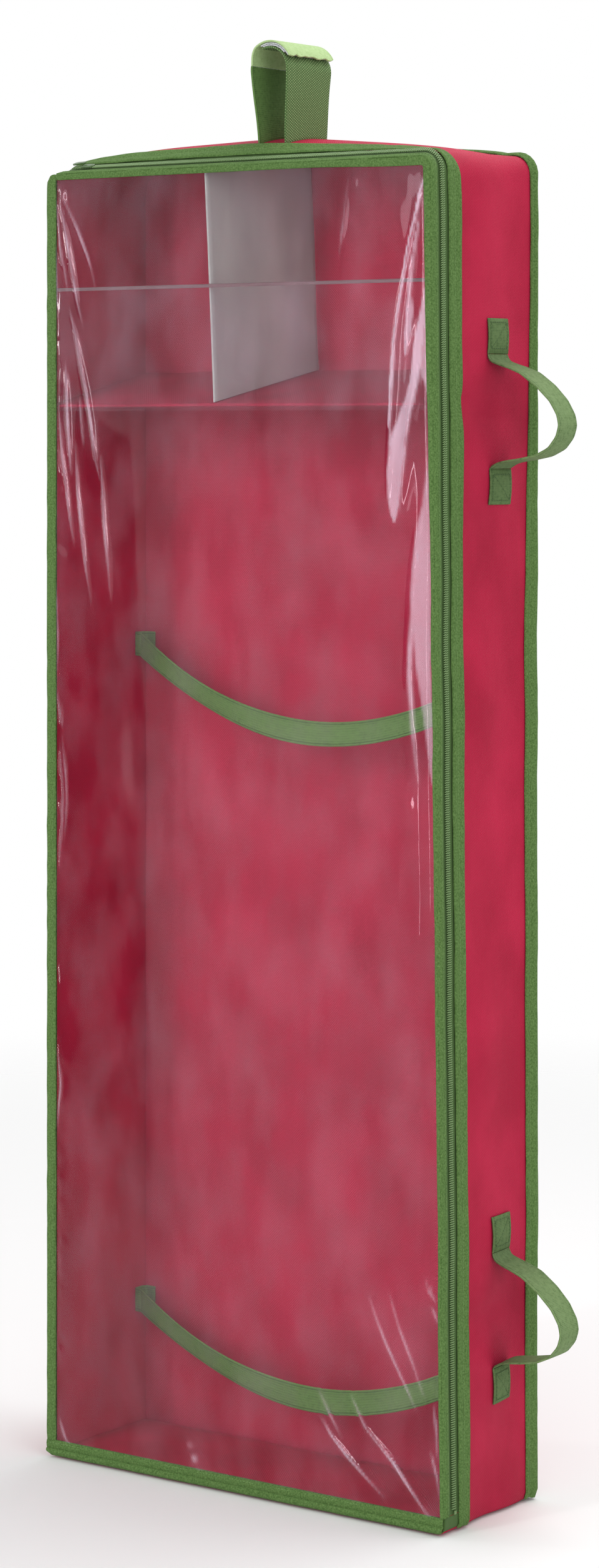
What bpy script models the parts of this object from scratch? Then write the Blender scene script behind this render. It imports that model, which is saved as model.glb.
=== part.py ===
"""Hanging gift wrap organizer: a tall fabric box with a clear zipped front.

Sizes are in metres. The origin is the axis of the closet rod inside the hang
strap, +Z is up, the clear front faces -Y and the carry handles are on +X.
In this file a place is given as x from the middle of the box, depth back from
the front plane, and height above the underside.
"""

from math import acos, atan, cos, hypot, pi, radians, sin, tan

import bmesh
import bpy
from mathutils import Matrix, Vector

# The box
WIDTH = 0.382
DEPTH = 0.128
HEIGHT = 1.029
RIGHT_LEAN = 0.012
CROWN_FRONT = 0.011
CROWN_BULGE = 0.003
CROWN_SKEW_SHARE = 0.8
CROWN_FULLNESS_SHARE = 0.7
FRONT_CORNER_RADIUS = 0.009
BAND_CORNER_RADIUS = 0.025
BACK_CORNER_RADIUS = 0.014

# Sheet thicknesses, and the gap between layers
FABRIC = 0.0012
VINYL = 0.0005
POCKET_VINYL = 0.0004
TAPE = 0.0006
BINDING = 0.0007
WEBBING = 0.0015
STRAP = 0.0012
BOARD = 0.0025
GAP = 0.0003

# Bindings round the clear front and along the seams
LEFT_LEG = 0.009
FLAP_LEG = 0.0075
BOTTOM_LEG = 0.0125
BACK_SIDE_LEG = 0.0136
BACK_LEG = 0.010
BODY_BINDING_WIDTH = 0.0131

# Zip
ZIP_ANGLE = radians(25)
PINCH = 0.017
COIL_WIDTH = 0.0029
COIL = 0.0016
COIL_PARTING = 0.0015
DOOR_TAPE_WIDTH = 0.0094
BODY_TAPE_WIDTH = 0.0096
TAPE_TO_BINDING = 0.004
STOP_LENGTH = 0.003
STOP = 0.0014
SLIDER_INSET = 0.033
SLIDER_LENGTH = 0.011
SLIDER = 0.0009
PULL_LENGTH = 0.013
PULL_WIDTH = 0.0042
PULL = 0.001
PULL_INSET = 0.002

# Shelf, divider, inner pocket and base
UPPER_SPACE = 0.186
SHELF_CLIMB = 0.029
DIVIDER_X = -0.028
DIVIDER_SKEW = 0.016
DIVIDER_LEAN = 0.009
DIVIDER_SETBACK = 0.007
DIVIDER_HEADROOM = 0.0045
POCKET_SETBACK = 0.0037
POCKET_HEIGHT = 0.094
POCKET_TUCK = 0.004
HEM_HEIGHT = 0.0025
HEM = 0.0004
BASE_MARGIN = 0.005

# Retaining straps across the inside
STRAP_WIDTH = 0.0195
STRAP_SAG = 0.048
STRAP_BEND = 0.006
STRAP_TAB = 0.016
STRAP_LEFT_SETBACK = 0.015
STRAP_RIGHT_DEPTH = 0.046
UPPER_STRAP_DROP = 0.196
UPPER_STRAP_FALL = 0.027
LOWER_STRAP_LEFT = 0.104
LOWER_STRAP_RIGHT = 0.110

# Carry handles on the right side
HANDLE_WIDTH = 0.027
HANDLE_DEPTH = 0.077
HANDLE_REACH = 0.065
HANDLE_HALF_HEIGHT = 0.043
HANDLE_TAB = 0.027
HANDLE_ROOT = 0.0009
HANDLE_FULLNESS_SHARE = 0.75
UPPER_HANDLE_DROP = 0.191
LOWER_HANDLE_HEIGHT = 0.156

# Hang strap round the rod
ROD_RADIUS = 0.016
ROD_LIFT = 0.077
HANG_X = 0.005
HANG_WIDTH = 0.060
LEFT_FOOT_X = -0.0068
RIGHT_FOOT_X = 0.020
HOOK_TAPE = 0.0012
HOOK_MARGIN = 0.0015
FLAP_START = radians(-80)
FLAP_SPREAD = radians(-34)
FLAP_END = radians(64)
HOOK_START = radians(-26)
HOOK_END = radians(60)
RIGHT_LEG_END = radians(-22)
LOOP_START = radians(-20)
LOOP_END = radians(48)

# Steps in curved pieces
PINCH_STEPS = 6
TOP_STEPS = 26
CORNER_STEPS = 6
SIDE_STEPS = 10
BULGE_STEPS = 5
STRAP_STEPS = 16
HANDLE_STEPS = 24
ROD_STEPS = 10
LEG_COLUMNS = 4

# Sizes that follow from the ones above
HALF = WIDTH / 2
WALL = FABRIC + GAP
INNER = HALF - WALL
BACK_INNER = DEPTH - WALL
FRAME = 2 * BINDING + 2 * GAP + VINYL
LINING_START = FRAME + GAP
HANG_HEIGHT = HEIGHT + ROD_LIFT
SHELF_FRONT = HEIGHT - UPPER_SPACE
UPPER_STRAP_LEFT = SHELF_FRONT - UPPER_STRAP_DROP
UPPER_STRAP_RIGHT = UPPER_STRAP_LEFT - UPPER_STRAP_FALL
UPPER_HANDLE_HEIGHT = HEIGHT - UPPER_HANDLE_DROP
PARTING_START = LINING_START + DOOR_TAPE_WIDTH
PARTING_END = PARTING_START + COIL_PARTING
PARTING_MIDDLE = (PARTING_START + PARTING_END) / 2
ZIP_DEPTH = PARTING_END + COIL_WIDTH
BODY_TAPE_END = PARTING_END + BODY_TAPE_WIDTH
BAND_START = ZIP_DEPTH + TAPE_TO_BINDING
BAND_DEPTH = BAND_START + BODY_BINDING_WIDTH
PANEL_LEVEL = -FABRIC / 2
TAPE_LEVEL = -GAP - TAPE / 2
COIL_LEVEL = COIL / 2
STOP_LEVEL = STOP / 2
BINDING_LEVEL = GAP + BINDING / 2
SLIDER_TOP_LEVEL = COIL + GAP + SLIDER / 2
SLIDER_LOW_LEVEL = TAPE_LEVEL - TAPE / 2 - GAP - SLIDER / 2
PULL_LEVEL = SLIDER_TOP_LEVEL + SLIDER / 2 + GAP + PULL / 2
BACK_BINDING_DEPTH = DEPTH + BINDING_LEVEL
ZIP_START_X = -HALF + LEFT_LEG + GAP
ZIP_END_HEIGHT = BOTTOM_LEG + GAP
FOLD_TOP = HEIGHT - FLAP_LEG
FOLD_BOTTOM_X = HALF - FLAP_LEG - GAP
SLEEVE = BOARD + 2 * GAP + 2 * FABRIC
SLEEVE_FRONT = POCKET_SETBACK + POCKET_VINYL / 2 + GAP + FABRIC / 2
LEG_RADIUS = ROD_RADIUS + GAP + WEBBING / 2
LOOP_RADIUS = LEG_RADIUS + WEBBING / 2 + GAP + HOOK_TAPE / 2
HOOK_RADIUS = LOOP_RADIUS + HOOK_TAPE + GAP
FLAP_RADIUS = HOOK_RADIUS + HOOK_TAPE / 2 + GAP + WEBBING / 2

# Finishes: colour and roughness
CRIMSON = ((0.43, 0.015, 0.055), 0.72)
GREEN = ((0.11, 0.19, 0.06), 0.85)
PALE_GREEN = ((0.26, 0.38, 0.16), 0.85)
CLEAR = ((0.86, 0.80, 0.82), 0.08)
GREY = ((0.42, 0.41, 0.40), 0.80)
WHITE = ((0.75, 0.76, 0.78), 0.90)


def clear_scene():
    """Remove the objects that the scene starts with."""
    for obj in list(bpy.data.objects):
        bpy.data.objects.remove(obj, do_unlink=True)


def make_collection(name):
    """Return a new collection linked to the scene."""
    collection = bpy.data.collections.new(name)
    bpy.context.scene.collection.children.link(collection)
    return collection


def paint(obj, finish, alpha):
    """Give an object its own Principled material."""
    colour, roughness = finish
    material = bpy.data.materials.new(obj.name)
    material.use_nodes = True
    shader = material.node_tree.nodes["Principled BSDF"]
    shader.inputs["Base Color"].default_value = (*colour, 1.0)
    shader.inputs["Roughness"].default_value = roughness
    shader.inputs["Alpha"].default_value = alpha
    obj.data.materials.append(material)


def add_object(name, data, finish, alpha=1.0):
    """Link a new painted object to the collection of parts."""
    obj = bpy.data.objects.new(name, data)
    parts.objects.link(obj)
    paint(obj, finish, alpha)
    return obj


def hang_on(name, pivot, pieces):
    """Parent moving pieces to an empty on their joint axis."""
    empty = bpy.data.objects.new(name, None)
    empty.location = pivot
    parts.objects.link(empty)
    for piece in pieces:
        piece.parent = empty
        piece.matrix_parent_inverse = Matrix.Translation(-pivot)


def mix(start, end, share):
    """Value or point a share of the way from start to end."""
    return start + (end - start) * share


def clamp(share):
    """Share limited to between 0 and 1."""
    return min(max(share, 0), 1)


def ease(share):
    """Smooth step from 0 to 1."""
    share = clamp(share)
    return share * share * (3 - 2 * share)


def shares(steps):
    """Evenly spaced shares from 0 to 1."""
    return [step / steps for step in range(steps + 1)]


def sheet(name, rows, thickness, finish, alpha=1.0):
    """Thin piece from rows of points along its middle surface."""
    last_row = len(rows) - 1
    last_column = len(rows[0]) - 1
    mesh = bpy.data.meshes.new(name)
    grid = bmesh.new()
    bmesh.ops.create_grid(grid, x_segments=last_column, y_segments=last_row, size=1)
    for vert in grid.verts:
        column = round((vert.co.x + 1) / 2 * last_column)
        row = round((vert.co.y + 1) / 2 * last_row)
        vert.co = rows[row][column]
    grid.to_mesh(mesh)
    grid.free()
    obj = add_object(name, mesh, finish, alpha)
    wall = obj.modifiers.new("Thickness", "SOLIDIFY")
    wall.thickness = thickness
    wall.offset = 0
    wall.use_even_offset = True
    wall.use_quality_normals = True
    return obj


def flat_outline(name, points, depth, thickness, finish, alpha):
    """Flat upright piece from a closed outline of x and z."""
    curve = bpy.data.curves.new(name, "CURVE")
    curve.dimensions = "2D"
    curve.fill_mode = "BOTH"
    curve.extrude = thickness / 2
    spline = curve.splines.new("POLY")
    spline.points.add(len(points) - 1)
    spline.use_cyclic_u = True
    for point, (x, z) in zip(spline.points, points):
        point.co = (x, z, 0, 1)
    obj = add_object(name, curve, finish, alpha)
    obj.rotation_euler.x = radians(90)
    obj.location.y = depth - DEPTH / 2
    return obj


def place(x, depth, height):
    """World point for a place in the box, with the soft right side's lean."""
    lean = RIGHT_LEAN * max(x, 0) / HALF * height / HEIGHT * (1 - depth / DEPTH)
    return Vector((x - lean - HANG_X, depth - DEPTH / 2, height - HANG_HEIGHT))


def zip_rise(x, depth):
    """Climb of the top from the clear front back to the zip's coil."""
    climb = min(max(depth, FRAME), ZIP_DEPTH) - FRAME
    return tan(ZIP_ANGLE) * climb * ease((x + HALF) / PINCH)


def crown(x, depth):
    """Extra lift of the top where the hang strap pulls it up."""
    along = clamp((x + HALF) / (WIDTH - BAND_CORNER_RADIUS))
    hump = max(sin(pi * along**CROWN_SKEW_SHARE), 0) ** CROWN_FULLNESS_SHARE
    front = clamp((depth - ZIP_DEPTH) / (BAND_DEPTH - ZIP_DEPTH))
    back = clamp((depth - BAND_DEPTH) / (DEPTH - BAND_DEPTH))
    return hump * (CROWN_FRONT * front + CROWN_BULGE * sin(pi * back))


def top_height(x, depth):
    """Height of the outer surface of the top."""
    return HEIGHT + zip_rise(x, depth) + crown(x, depth)


def top_slope(x, depth):
    """Slope of the top going back, averaged over a kink."""
    climb = top_height(x, depth + GAP) - top_height(x, depth - GAP)
    return climb / (2 * GAP)


def corner_radius(depth):
    """Radius of the rounded top right corner at a depth."""
    if depth < BAND_DEPTH:
        share = clamp((depth - FRAME) / (BAND_DEPTH - FRAME))
        return mix(FRONT_CORNER_RADIUS, BAND_CORNER_RADIUS, share)
    share = clamp((depth - BAND_DEPTH) / (DEPTH - BAND_DEPTH))
    return mix(BAND_CORNER_RADIUS, BACK_CORNER_RADIUS, share)


def corner_growth(depth):
    """Growth of the corner's radius going back, averaged over a kink."""
    return (corner_radius(depth + GAP) - corner_radius(depth - GAP)) / (2 * GAP)


def top_at(x):
    """Station on the top: it turns a depth and an offset into a place."""

    def station(depth, offset):
        tilt = atan(top_slope(x, depth))
        return place(x, depth - offset * sin(tilt), top_height(x, depth) + offset * cos(tilt))

    return station


def corner_at(angle):
    """Station round the top right corner, from 0 at the top to a right angle."""

    def station(depth, offset):
        radius = corner_radius(depth)
        growth = corner_growth(depth) * (1 - sin(angle) - cos(angle))
        tilt = atan(top_slope(HALF, depth) * cos(angle) + growth)
        out = radius + offset * cos(tilt)
        x = HALF - radius + out * sin(angle)
        height = top_height(HALF, depth) - radius + out * cos(angle)
        return place(x, depth - offset * sin(tilt), height)

    return station


def right_at(height):
    """Station on the right side at a height."""
    return lambda depth, offset: place(HALF + offset, depth, height)


def left_at(height):
    """Station on the left side at a height."""
    return lambda depth, offset: place(-HALF - offset, depth, height)


def bottom_at(x):
    """Station on the underside."""
    return lambda depth, offset: place(x, depth, -offset)


def top_run(start):
    """Stations along the top, from start to where the corner begins."""
    pinch_end = -HALF + PINCH
    stops = [mix(-HALF, pinch_end, share) for share in shares(PINCH_STEPS)[:-1]]
    stops += [mix(pinch_end, HALF - BAND_CORNER_RADIUS, share) for share in shares(TOP_STEPS)]
    return [top_at(x) for x in [start] + [x for x in stops if x > start + GAP]]


def over_and_down(start, end):
    """Stations along the top, round the right corner and down to a height."""
    corner = [corner_at(radians(90) * share) for share in shares(CORNER_STEPS)]
    side_top = HEIGHT - BAND_CORNER_RADIUS
    side = [right_at(mix(side_top, end, share)) for share in shares(SIDE_STEPS)[1:]]
    return top_run(start) + corner + side


def strip(name, stations, profile, thickness, finish):
    """Sewn strip: a profile of depths and offsets swept along stations."""
    rows = [[station(*point) for point in profile] for station in stations]
    return sheet(name, rows, thickness, finish)


def lying(start, end, level):
    """Profile of a strip that follows the surface, with points at its kinks."""
    kinks = [depth for depth in (ZIP_DEPTH, BAND_DEPTH) if start < depth < end]
    return [(depth, level) for depth in [start, *kinks, end]]


def edge_channel(leg):
    """Profile of a binding folded over the edge of the clear front."""
    front = BINDING / 2
    back = FRAME - BINDING / 2
    return [(front, -leg), (front, -BINDING / 2), (back, -BINDING / 2), (back, -leg)]


def make_panels():
    """Red fabric box and its stiff base."""
    bulge = [mix(BAND_DEPTH, DEPTH, share) for share in shares(BULGE_STEPS)]
    depths = [BODY_TAPE_END + GAP, *bulge]
    wrap = [(depth, PANEL_LEVEL) for depth in depths]
    strip("top_and_right_panel", over_and_down(-HALF, 0), wrap, FABRIC, CRIMSON)
    profile = [(LINING_START, PANEL_LEVEL), (DEPTH, PANEL_LEVEL)]
    strip("left_side_panel", [left_at(0), left_at(HEIGHT - WALL)], profile, FABRIC, CRIMSON)
    profile = [(LINING_START, PANEL_LEVEL), (DEPTH - BACK_LEG - GAP, PANEL_LEVEL)]
    strip("bottom_panel", [bottom_at(-INNER), bottom_at(INNER)], profile, FABRIC, CRIMSON)
    rows = [[], []]
    left_x = left_at(0)(DEPTH, -WALL).x
    for station in over_and_down(-HALF, 0)[:-SIDE_STEPS]:
        upper = station(DEPTH - FABRIC / 2, -WALL)
        upper.x = max(upper.x, left_x)
        rows[0].append(Vector((upper.x, upper.y, BINDING + GAP - HANG_HEIGHT)))
        rows[1].append(upper)
    sheet("back_panel", rows, FABRIC, CRIMSON)
    margin = HALF - BASE_MARGIN
    level = -WALL - BOARD / 2
    profile = [(FRAME + BASE_MARGIN, level), (BACK_INNER - BASE_MARGIN, level)]
    strip("base_board", [bottom_at(-margin), bottom_at(margin)], profile, BOARD, GREY)


def make_back_bindings():
    """Green binding over the seams round the back."""
    side = DEPTH - BACK_SIDE_LEG
    back = BACK_BINDING_DEPTH
    corner = [(side, BINDING_LEVEL), (back, BINDING_LEVEL), (back, -BACK_LEG)]
    stop = BACK_LEG + 2 * GAP
    strip("back_binding_top_right", over_and_down(-HALF, stop), corner, BINDING, GREEN)
    stations = [left_at(stop), left_at(HEIGHT - stop)]
    strip("back_binding_left", stations, corner, BINDING, GREEN)
    flush = -BINDING / 2
    under = [(DEPTH - BACK_LEG, flush), (back, flush), (back, -BACK_LEG)]
    strip("back_binding_bottom", [bottom_at(-INNER), bottom_at(INNER)], under, BINDING, GREEN)


def window_sheet(name, corners):
    """Clear upright sheet inside the bindings, from corners of x and height."""
    middle = FRAME / 2
    points = [place(x, middle, height) for x, height in corners]
    outline = [(point.x, point.z) for point in points]
    return flat_outline(name, outline, middle, VINYL, CLEAR, 0.3)


def make_front():
    """Clear front: a sewn lower half, a flap above the diagonal fold, and bindings."""
    inset = BINDING + GAP
    right = HALF - inset
    top = HEIGHT - inset
    clear = GAP / 2
    low = BOTTOM_LEG - GAP
    sewn = [(-right, inset), (right, inset), (right, low), (FOLD_BOTTOM_X - clear, low)]
    sewn += [(FOLD_BOTTOM_X - clear, ZIP_END_HEIGHT), (ZIP_START_X - clear, FOLD_TOP)]
    sewn += [(ZIP_START_X - clear, top), (-right, top)]
    window_sheet("window_lower", sewn)
    radius = FRONT_CORNER_RADIUS - inset
    flap = [(ZIP_START_X + clear, top), (ZIP_START_X + clear, FOLD_TOP)]
    flap += [(FOLD_BOTTOM_X + clear, ZIP_END_HEIGHT), (right, ZIP_END_HEIGHT)]
    for share in shares(CORNER_STEPS):
        turn = radians(90) * share
        flap.append((right - radius + radius * cos(turn), top - radius + radius * sin(turn)))
    moving = [window_sheet("window_flap", flap)]
    profile = edge_channel(FLAP_LEG)
    stations = over_and_down(ZIP_START_X, ZIP_END_HEIGHT)
    moving.append(strip("window_binding_flap", stations, profile, BINDING, GREEN))
    stations = [left_at(ZIP_END_HEIGHT), left_at(HEIGHT)]
    strip("window_binding_left", stations, edge_channel(LEFT_LEG), BINDING, GREEN)
    stations = [bottom_at(-HALF), bottom_at(HALF)]
    strip("window_binding_bottom", stations, edge_channel(BOTTOM_LEG), BINDING, GREEN)
    return moving


def make_zip():
    """Zip tapes, coils, stops and end tabs, in an L along the top and right side."""
    door = lying(LINING_START, PARTING_START, TAPE_LEVEL)
    body = lying(PARTING_END, BODY_TAPE_END, TAPE_LEVEL)
    door_coil = lying(PARTING_START - COIL_WIDTH, PARTING_START, COIL_LEVEL)
    body_coil = lying(PARTING_END, ZIP_DEPTH, COIL_LEVEL)
    stop = [(PARTING_END, STOP_LEVEL), (ZIP_DEPTH, STOP_LEVEL)]
    tapes = over_and_down(ZIP_START_X, ZIP_END_HEIGHT)
    coil_x = -HALF + PINCH + STOP_LENGTH + GAP
    coils = over_and_down(coil_x, ZIP_END_HEIGHT + STOP_LENGTH + GAP)
    moving = [strip("zip_tape_door", tapes, door, TAPE, GREEN)]
    moving.append(strip("zip_coil_door", coils, door_coil, COIL, GREEN))
    strip("zip_tape_body", tapes, body, TAPE, GREEN)
    strip("zip_coil_body", coils, body_coil, COIL, GREEN)
    ends = [top_at(-HALF + PINCH), top_at(-HALF + PINCH + STOP_LENGTH)]
    strip("zip_top_stop", ends, stop, STOP, GREEN)
    ends = [right_at(ZIP_END_HEIGHT), right_at(ZIP_END_HEIGHT + STOP_LENGTH)]
    strip("zip_bottom_stop", ends, stop, STOP, GREEN)
    cover = lying(LINING_START, BODY_TAPE_END, TAPE_LEVEL)
    ends = [top_at(-HALF), top_at((ZIP_START_X - HALF) / 2), top_at(ZIP_START_X - GAP)]
    strip("zip_top_end_tab", ends, cover, TAPE, PALE_GREEN)
    ends = [right_at(GAP), right_at(ZIP_END_HEIGHT - GAP)]
    strip("zip_bottom_end_tab", ends, cover, TAPE, GREEN)
    outer = lying(BAND_START, BAND_DEPTH, BINDING_LEVEL)
    strip("body_binding", over_and_down(-HALF, 0), outer, BINDING, GREEN)
    return moving


def make_slider():
    """Zip slider round the body side's coil, with its pull tab."""
    middle = -HALF + SLIDER_INSET
    left = middle - SLIDER_LENGTH / 2
    right = middle + SLIDER_LENGTH / 2
    profile = [(ZIP_DEPTH - GAP, SLIDER_TOP_LEVEL), (PARTING_MIDDLE, SLIDER_TOP_LEVEL)]
    profile += [(PARTING_MIDDLE, SLIDER_LOW_LEVEL), (ZIP_DEPTH - GAP, SLIDER_LOW_LEVEL)]
    slider = strip("zip_slider", [top_at(left), top_at(right)], profile, SLIDER, GREEN)
    centre = (PARTING_MIDDLE + ZIP_DEPTH) / 2
    hang_on("zip_slider_path", top_at(middle)(centre, 0), [slider])
    pivot_x = left + PULL_INSET
    pivot = top_at(pivot_x)(centre, PULL_LEVEL)
    across = Vector((0, cos(ZIP_ANGLE), sin(ZIP_ANGLE))) * PULL_WIDTH / 2
    tip = pivot - Vector((PULL_LENGTH, 0, 0))
    rows = [[tip - across, tip + across], [pivot - across, pivot + across]]
    pull = sheet("zip_pull_tab", rows, PULL, GREEN)
    hang_on("zip_pull_hinge", pivot, [pull])


def shelf_height(depth):
    """Height of the sloping shelf's top at a depth."""
    return SHELF_FRONT + SHELF_CLIMB * depth / DEPTH


def crosswise(name, profile, reach, thickness, finish, alpha=1.0):
    """Sheet from wall to wall, from a profile of depths and heights."""
    rows = [[place(x, *point) for point in profile] for x in (-reach, reach)]
    return sheet(name, rows, thickness, finish, alpha)


def make_shelf():
    """Sloping shelf with its board, divider and clear front pocket."""
    front = SLEEVE_FRONT
    back = BACK_INNER - 2 * GAP
    top = FABRIC / 2
    low = SLEEVE - FABRIC / 2
    profile = [(back, shelf_height(back) - top), (front, shelf_height(front) - top)]
    profile += [(front, shelf_height(front) - low), (back, shelf_height(back) - low)]
    crosswise("shelf_sleeve", profile, INNER - GAP, FABRIC, CRIMSON)
    start = front + FABRIC / 2 + 2 * GAP
    level = SLEEVE / 2
    profile = [(start, shelf_height(start) - level), (back - GAP, shelf_height(back - GAP) - level)]
    crosswise("shelf_board", profile, INNER - GAP, BOARD, GREY)
    rows = []
    for depth, x in ((DIVIDER_SETBACK, DIVIDER_X), (back, DIVIDER_X + DIVIDER_SKEW)):
        foot = place(x, depth, shelf_height(depth) + 2 * GAP)
        ceiling = top_height(x, depth) - FABRIC - DIVIDER_HEADROOM
        rows.append([foot, place(x - DIVIDER_LEAN, depth, ceiling)])
    sheet("divider_board", rows, BOARD, GREY)
    hem_top = SHELF_FRONT + POCKET_HEIGHT
    profile = [(POCKET_SETBACK, SHELF_FRONT - POCKET_TUCK), (POCKET_SETBACK, hem_top)]
    crosswise("pocket_sheet", profile, INNER - GAP, POCKET_VINYL, CLEAR, 0.3)
    spread = POCKET_VINYL / 2 + GAP + HEM / 2
    near = POCKET_SETBACK - spread
    far = POCKET_SETBACK + spread
    profile = [(near, hem_top - HEM_HEIGHT), (near, hem_top + spread)]
    profile += [(far, hem_top + spread), (far, hem_top - HEM_HEIGHT)]
    crosswise("pocket_hem", profile, INNER - GAP, HEM, GREY)


def band_along(name, path, ups, width, thickness, finish):
    """Flat band along a path, with its width along the matching up vectors."""
    rows = [[point - up * width / 2, point + up * width / 2] for point, up in zip(path, ups)]
    return sheet(name, rows, thickness, finish)


def make_retaining_strap(name, left_height, right_height):
    """Slack strap across the inside, between a tab in each of two corners."""
    clear = FABRIC + GAP + STRAP / 2
    left_x = -HALF + clear
    right_x = HALF - clear
    back = DEPTH - clear
    left = place(left_x, DEPTH - STRAP_LEFT_SETBACK, left_height)
    right = place(right_x, STRAP_RIGHT_DEPTH, right_height)
    chord = (right - left).normalized()
    level = Vector((0, 0, 1))
    up = (level - chord * level.dot(chord)).normalized()
    start = left + chord * STRAP_BEND
    end = right - chord * STRAP_BEND
    path = []
    for share in shares(STRAP_STEPS):
        sag = up * STRAP_SAG * (1 - (2 * share - 1) ** 2)
        path.append(mix(start, end, share) - sag)
    ups = [up] * len(path)
    strap = band_along(name, path, ups, STRAP_WIDTH, STRAP, GREEN)
    hang_on(name + "_swing", start, [strap])
    path = [place(left_x + STRAP_TAB, back, left_height), place(left_x, back, left_height)]
    path += [left, start - chord * GAP]
    band_along(name + "_left_tab", path, [level, level, level, up], STRAP_WIDTH, STRAP, GREEN)
    path = [end + chord * GAP, right]
    path.append(place(right_x, STRAP_RIGHT_DEPTH - STRAP_TAB, right_height))
    band_along(name + "_right_tab", path, [up, level, level], STRAP_WIDTH, STRAP, GREEN)


def make_handle(name, height):
    """Webbing carry handle that loops out between two sewn tabs."""
    level = GAP + WEBBING / 2
    near = HANDLE_DEPTH - HANDLE_WIDTH / 2
    far = HANDLE_DEPTH + HANDLE_WIDTH / 2
    profile = [(near, level), (far, level)]
    butt = HANDLE_HALF_HEIGHT + WEBBING / 2 + GAP
    for label, side in (("_top_tab", 1), ("_bottom_tab", -1)):
        ends = [right_at(height + side * butt), right_at(height + side * (butt + HANDLE_TAB))]
        strip(name + label, ends, profile, WEBBING, GREEN)
    centre = place(HALF + level, HANDLE_DEPTH, height)
    rows = []
    for share in shares(HANDLE_STEPS):
        turn = pi * share
        fullness = max(sin(turn), 0) ** HANDLE_FULLNESS_SHARE
        reach = HANDLE_REACH * fullness
        across = Vector((0, min(HANDLE_WIDTH / 2, reach + HANDLE_ROOT), 0))
        point = centre + Vector((reach, 0, HANDLE_HALF_HEIGHT * cos(turn)))
        rows.append([point - across, point + across])
    handle = sheet(name, rows, WEBBING, GREEN)
    hang_on(name + "_swing", centre, [handle])


def rod_row(radius, angle, width):
    """Row of points along the rod at a radius and an angle from straight up."""
    points = []
    for share in shares(LEG_COLUMNS):
        y = mix(-width / 2, width / 2, share)
        points.append(Vector((radius * sin(angle), y, radius * cos(angle))))
    return points


def foot_row(x):
    """Row of points where a leg of the hang strap meets the top."""
    points = []
    for share in shares(LEG_COLUMNS):
        depth = DEPTH / 2 + mix(-HANG_WIDTH / 2, HANG_WIDTH / 2, share)
        points.append(place(x, depth, top_height(x, depth) + 2 * GAP))
    return points


def leg_rows(x, side, end):
    """Rows of one leg: up from its foot, then round the rod to an angle."""
    foot = place(x, DEPTH / 2, top_height(x, DEPTH / 2))
    below = pi - atan(abs(foot.x) / -foot.z)
    tangent = side * (below - acos(LEG_RADIUS / hypot(foot.x, foot.z)))
    rows = [foot_row(x)]
    rows += [rod_row(LEG_RADIUS, mix(tangent, end, share), HANG_WIDTH) for share in shares(ROD_STEPS)]
    return rows


def curved_tape(name, radius, start, end, finish):
    """Hook or loop tape concentric with the rod."""
    width = HANG_WIDTH - 2 * HOOK_MARGIN
    rows = [rod_row(radius, mix(start, end, share), width) for share in shares(ROD_STEPS)]
    return sheet(name, rows, HOOK_TAPE, finish)


def make_hang_strap():
    """Strap over the rod: two legs, and a flap that hook and loop tape closes."""
    sheet("hang_strap_left_leg", leg_rows(LEFT_FOOT_X, -1, FLAP_START), WEBBING, GREEN)
    sheet("hang_strap_right_leg", leg_rows(RIGHT_FOOT_X, 1, RIGHT_LEG_END), WEBBING, GREEN)
    curved_tape("loop_tape", LOOP_RADIUS, LOOP_START, LOOP_END, WHITE)
    hook = curved_tape("hook_tape", HOOK_RADIUS, HOOK_START, HOOK_END, WHITE)
    start = FLAP_START + GAP / LEG_RADIUS
    rows = []
    for share in shares(ROD_STEPS + ROD_STEPS):
        angle = mix(start, FLAP_END, share)
        spread = ease((angle - start) / (FLAP_SPREAD - start))
        rows.append(rod_row(mix(LEG_RADIUS, FLAP_RADIUS, spread), angle, HANG_WIDTH))
    flap = sheet("hang_strap_flap", rows, WEBBING, PALE_GREEN)
    radius = LEG_RADIUS + WEBBING / 2
    pivot = Vector((radius * sin(FLAP_START), 0, radius * cos(FLAP_START)))
    hang_on("hang_strap_hinge", pivot, [flap, hook])


clear_scene()
parts = make_collection("gift_wrap_organizer")
make_panels()
make_back_bindings()
door_pieces = make_front() + make_zip()
hang_on("front_flap_hinge", place(ZIP_START_X, 0, FOLD_TOP), door_pieces)
make_slider()
make_shelf()
make_retaining_strap("upper_retaining_strap", UPPER_STRAP_LEFT, UPPER_STRAP_RIGHT)
make_retaining_strap("lower_retaining_strap", LOWER_STRAP_LEFT, LOWER_STRAP_RIGHT)
make_handle("upper_handle", UPPER_HANDLE_HEIGHT)
make_handle("lower_handle", LOWER_HANDLE_HEIGHT)
make_hang_strap()
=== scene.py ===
"""Studio picture of a hanging gift wrap organizer.

Places are given as in the pattern of the box: x from the middle, depth back
from the clear front, and height above the underside, all in metres.
"""

from math import cos, pi, radians, sin

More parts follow.
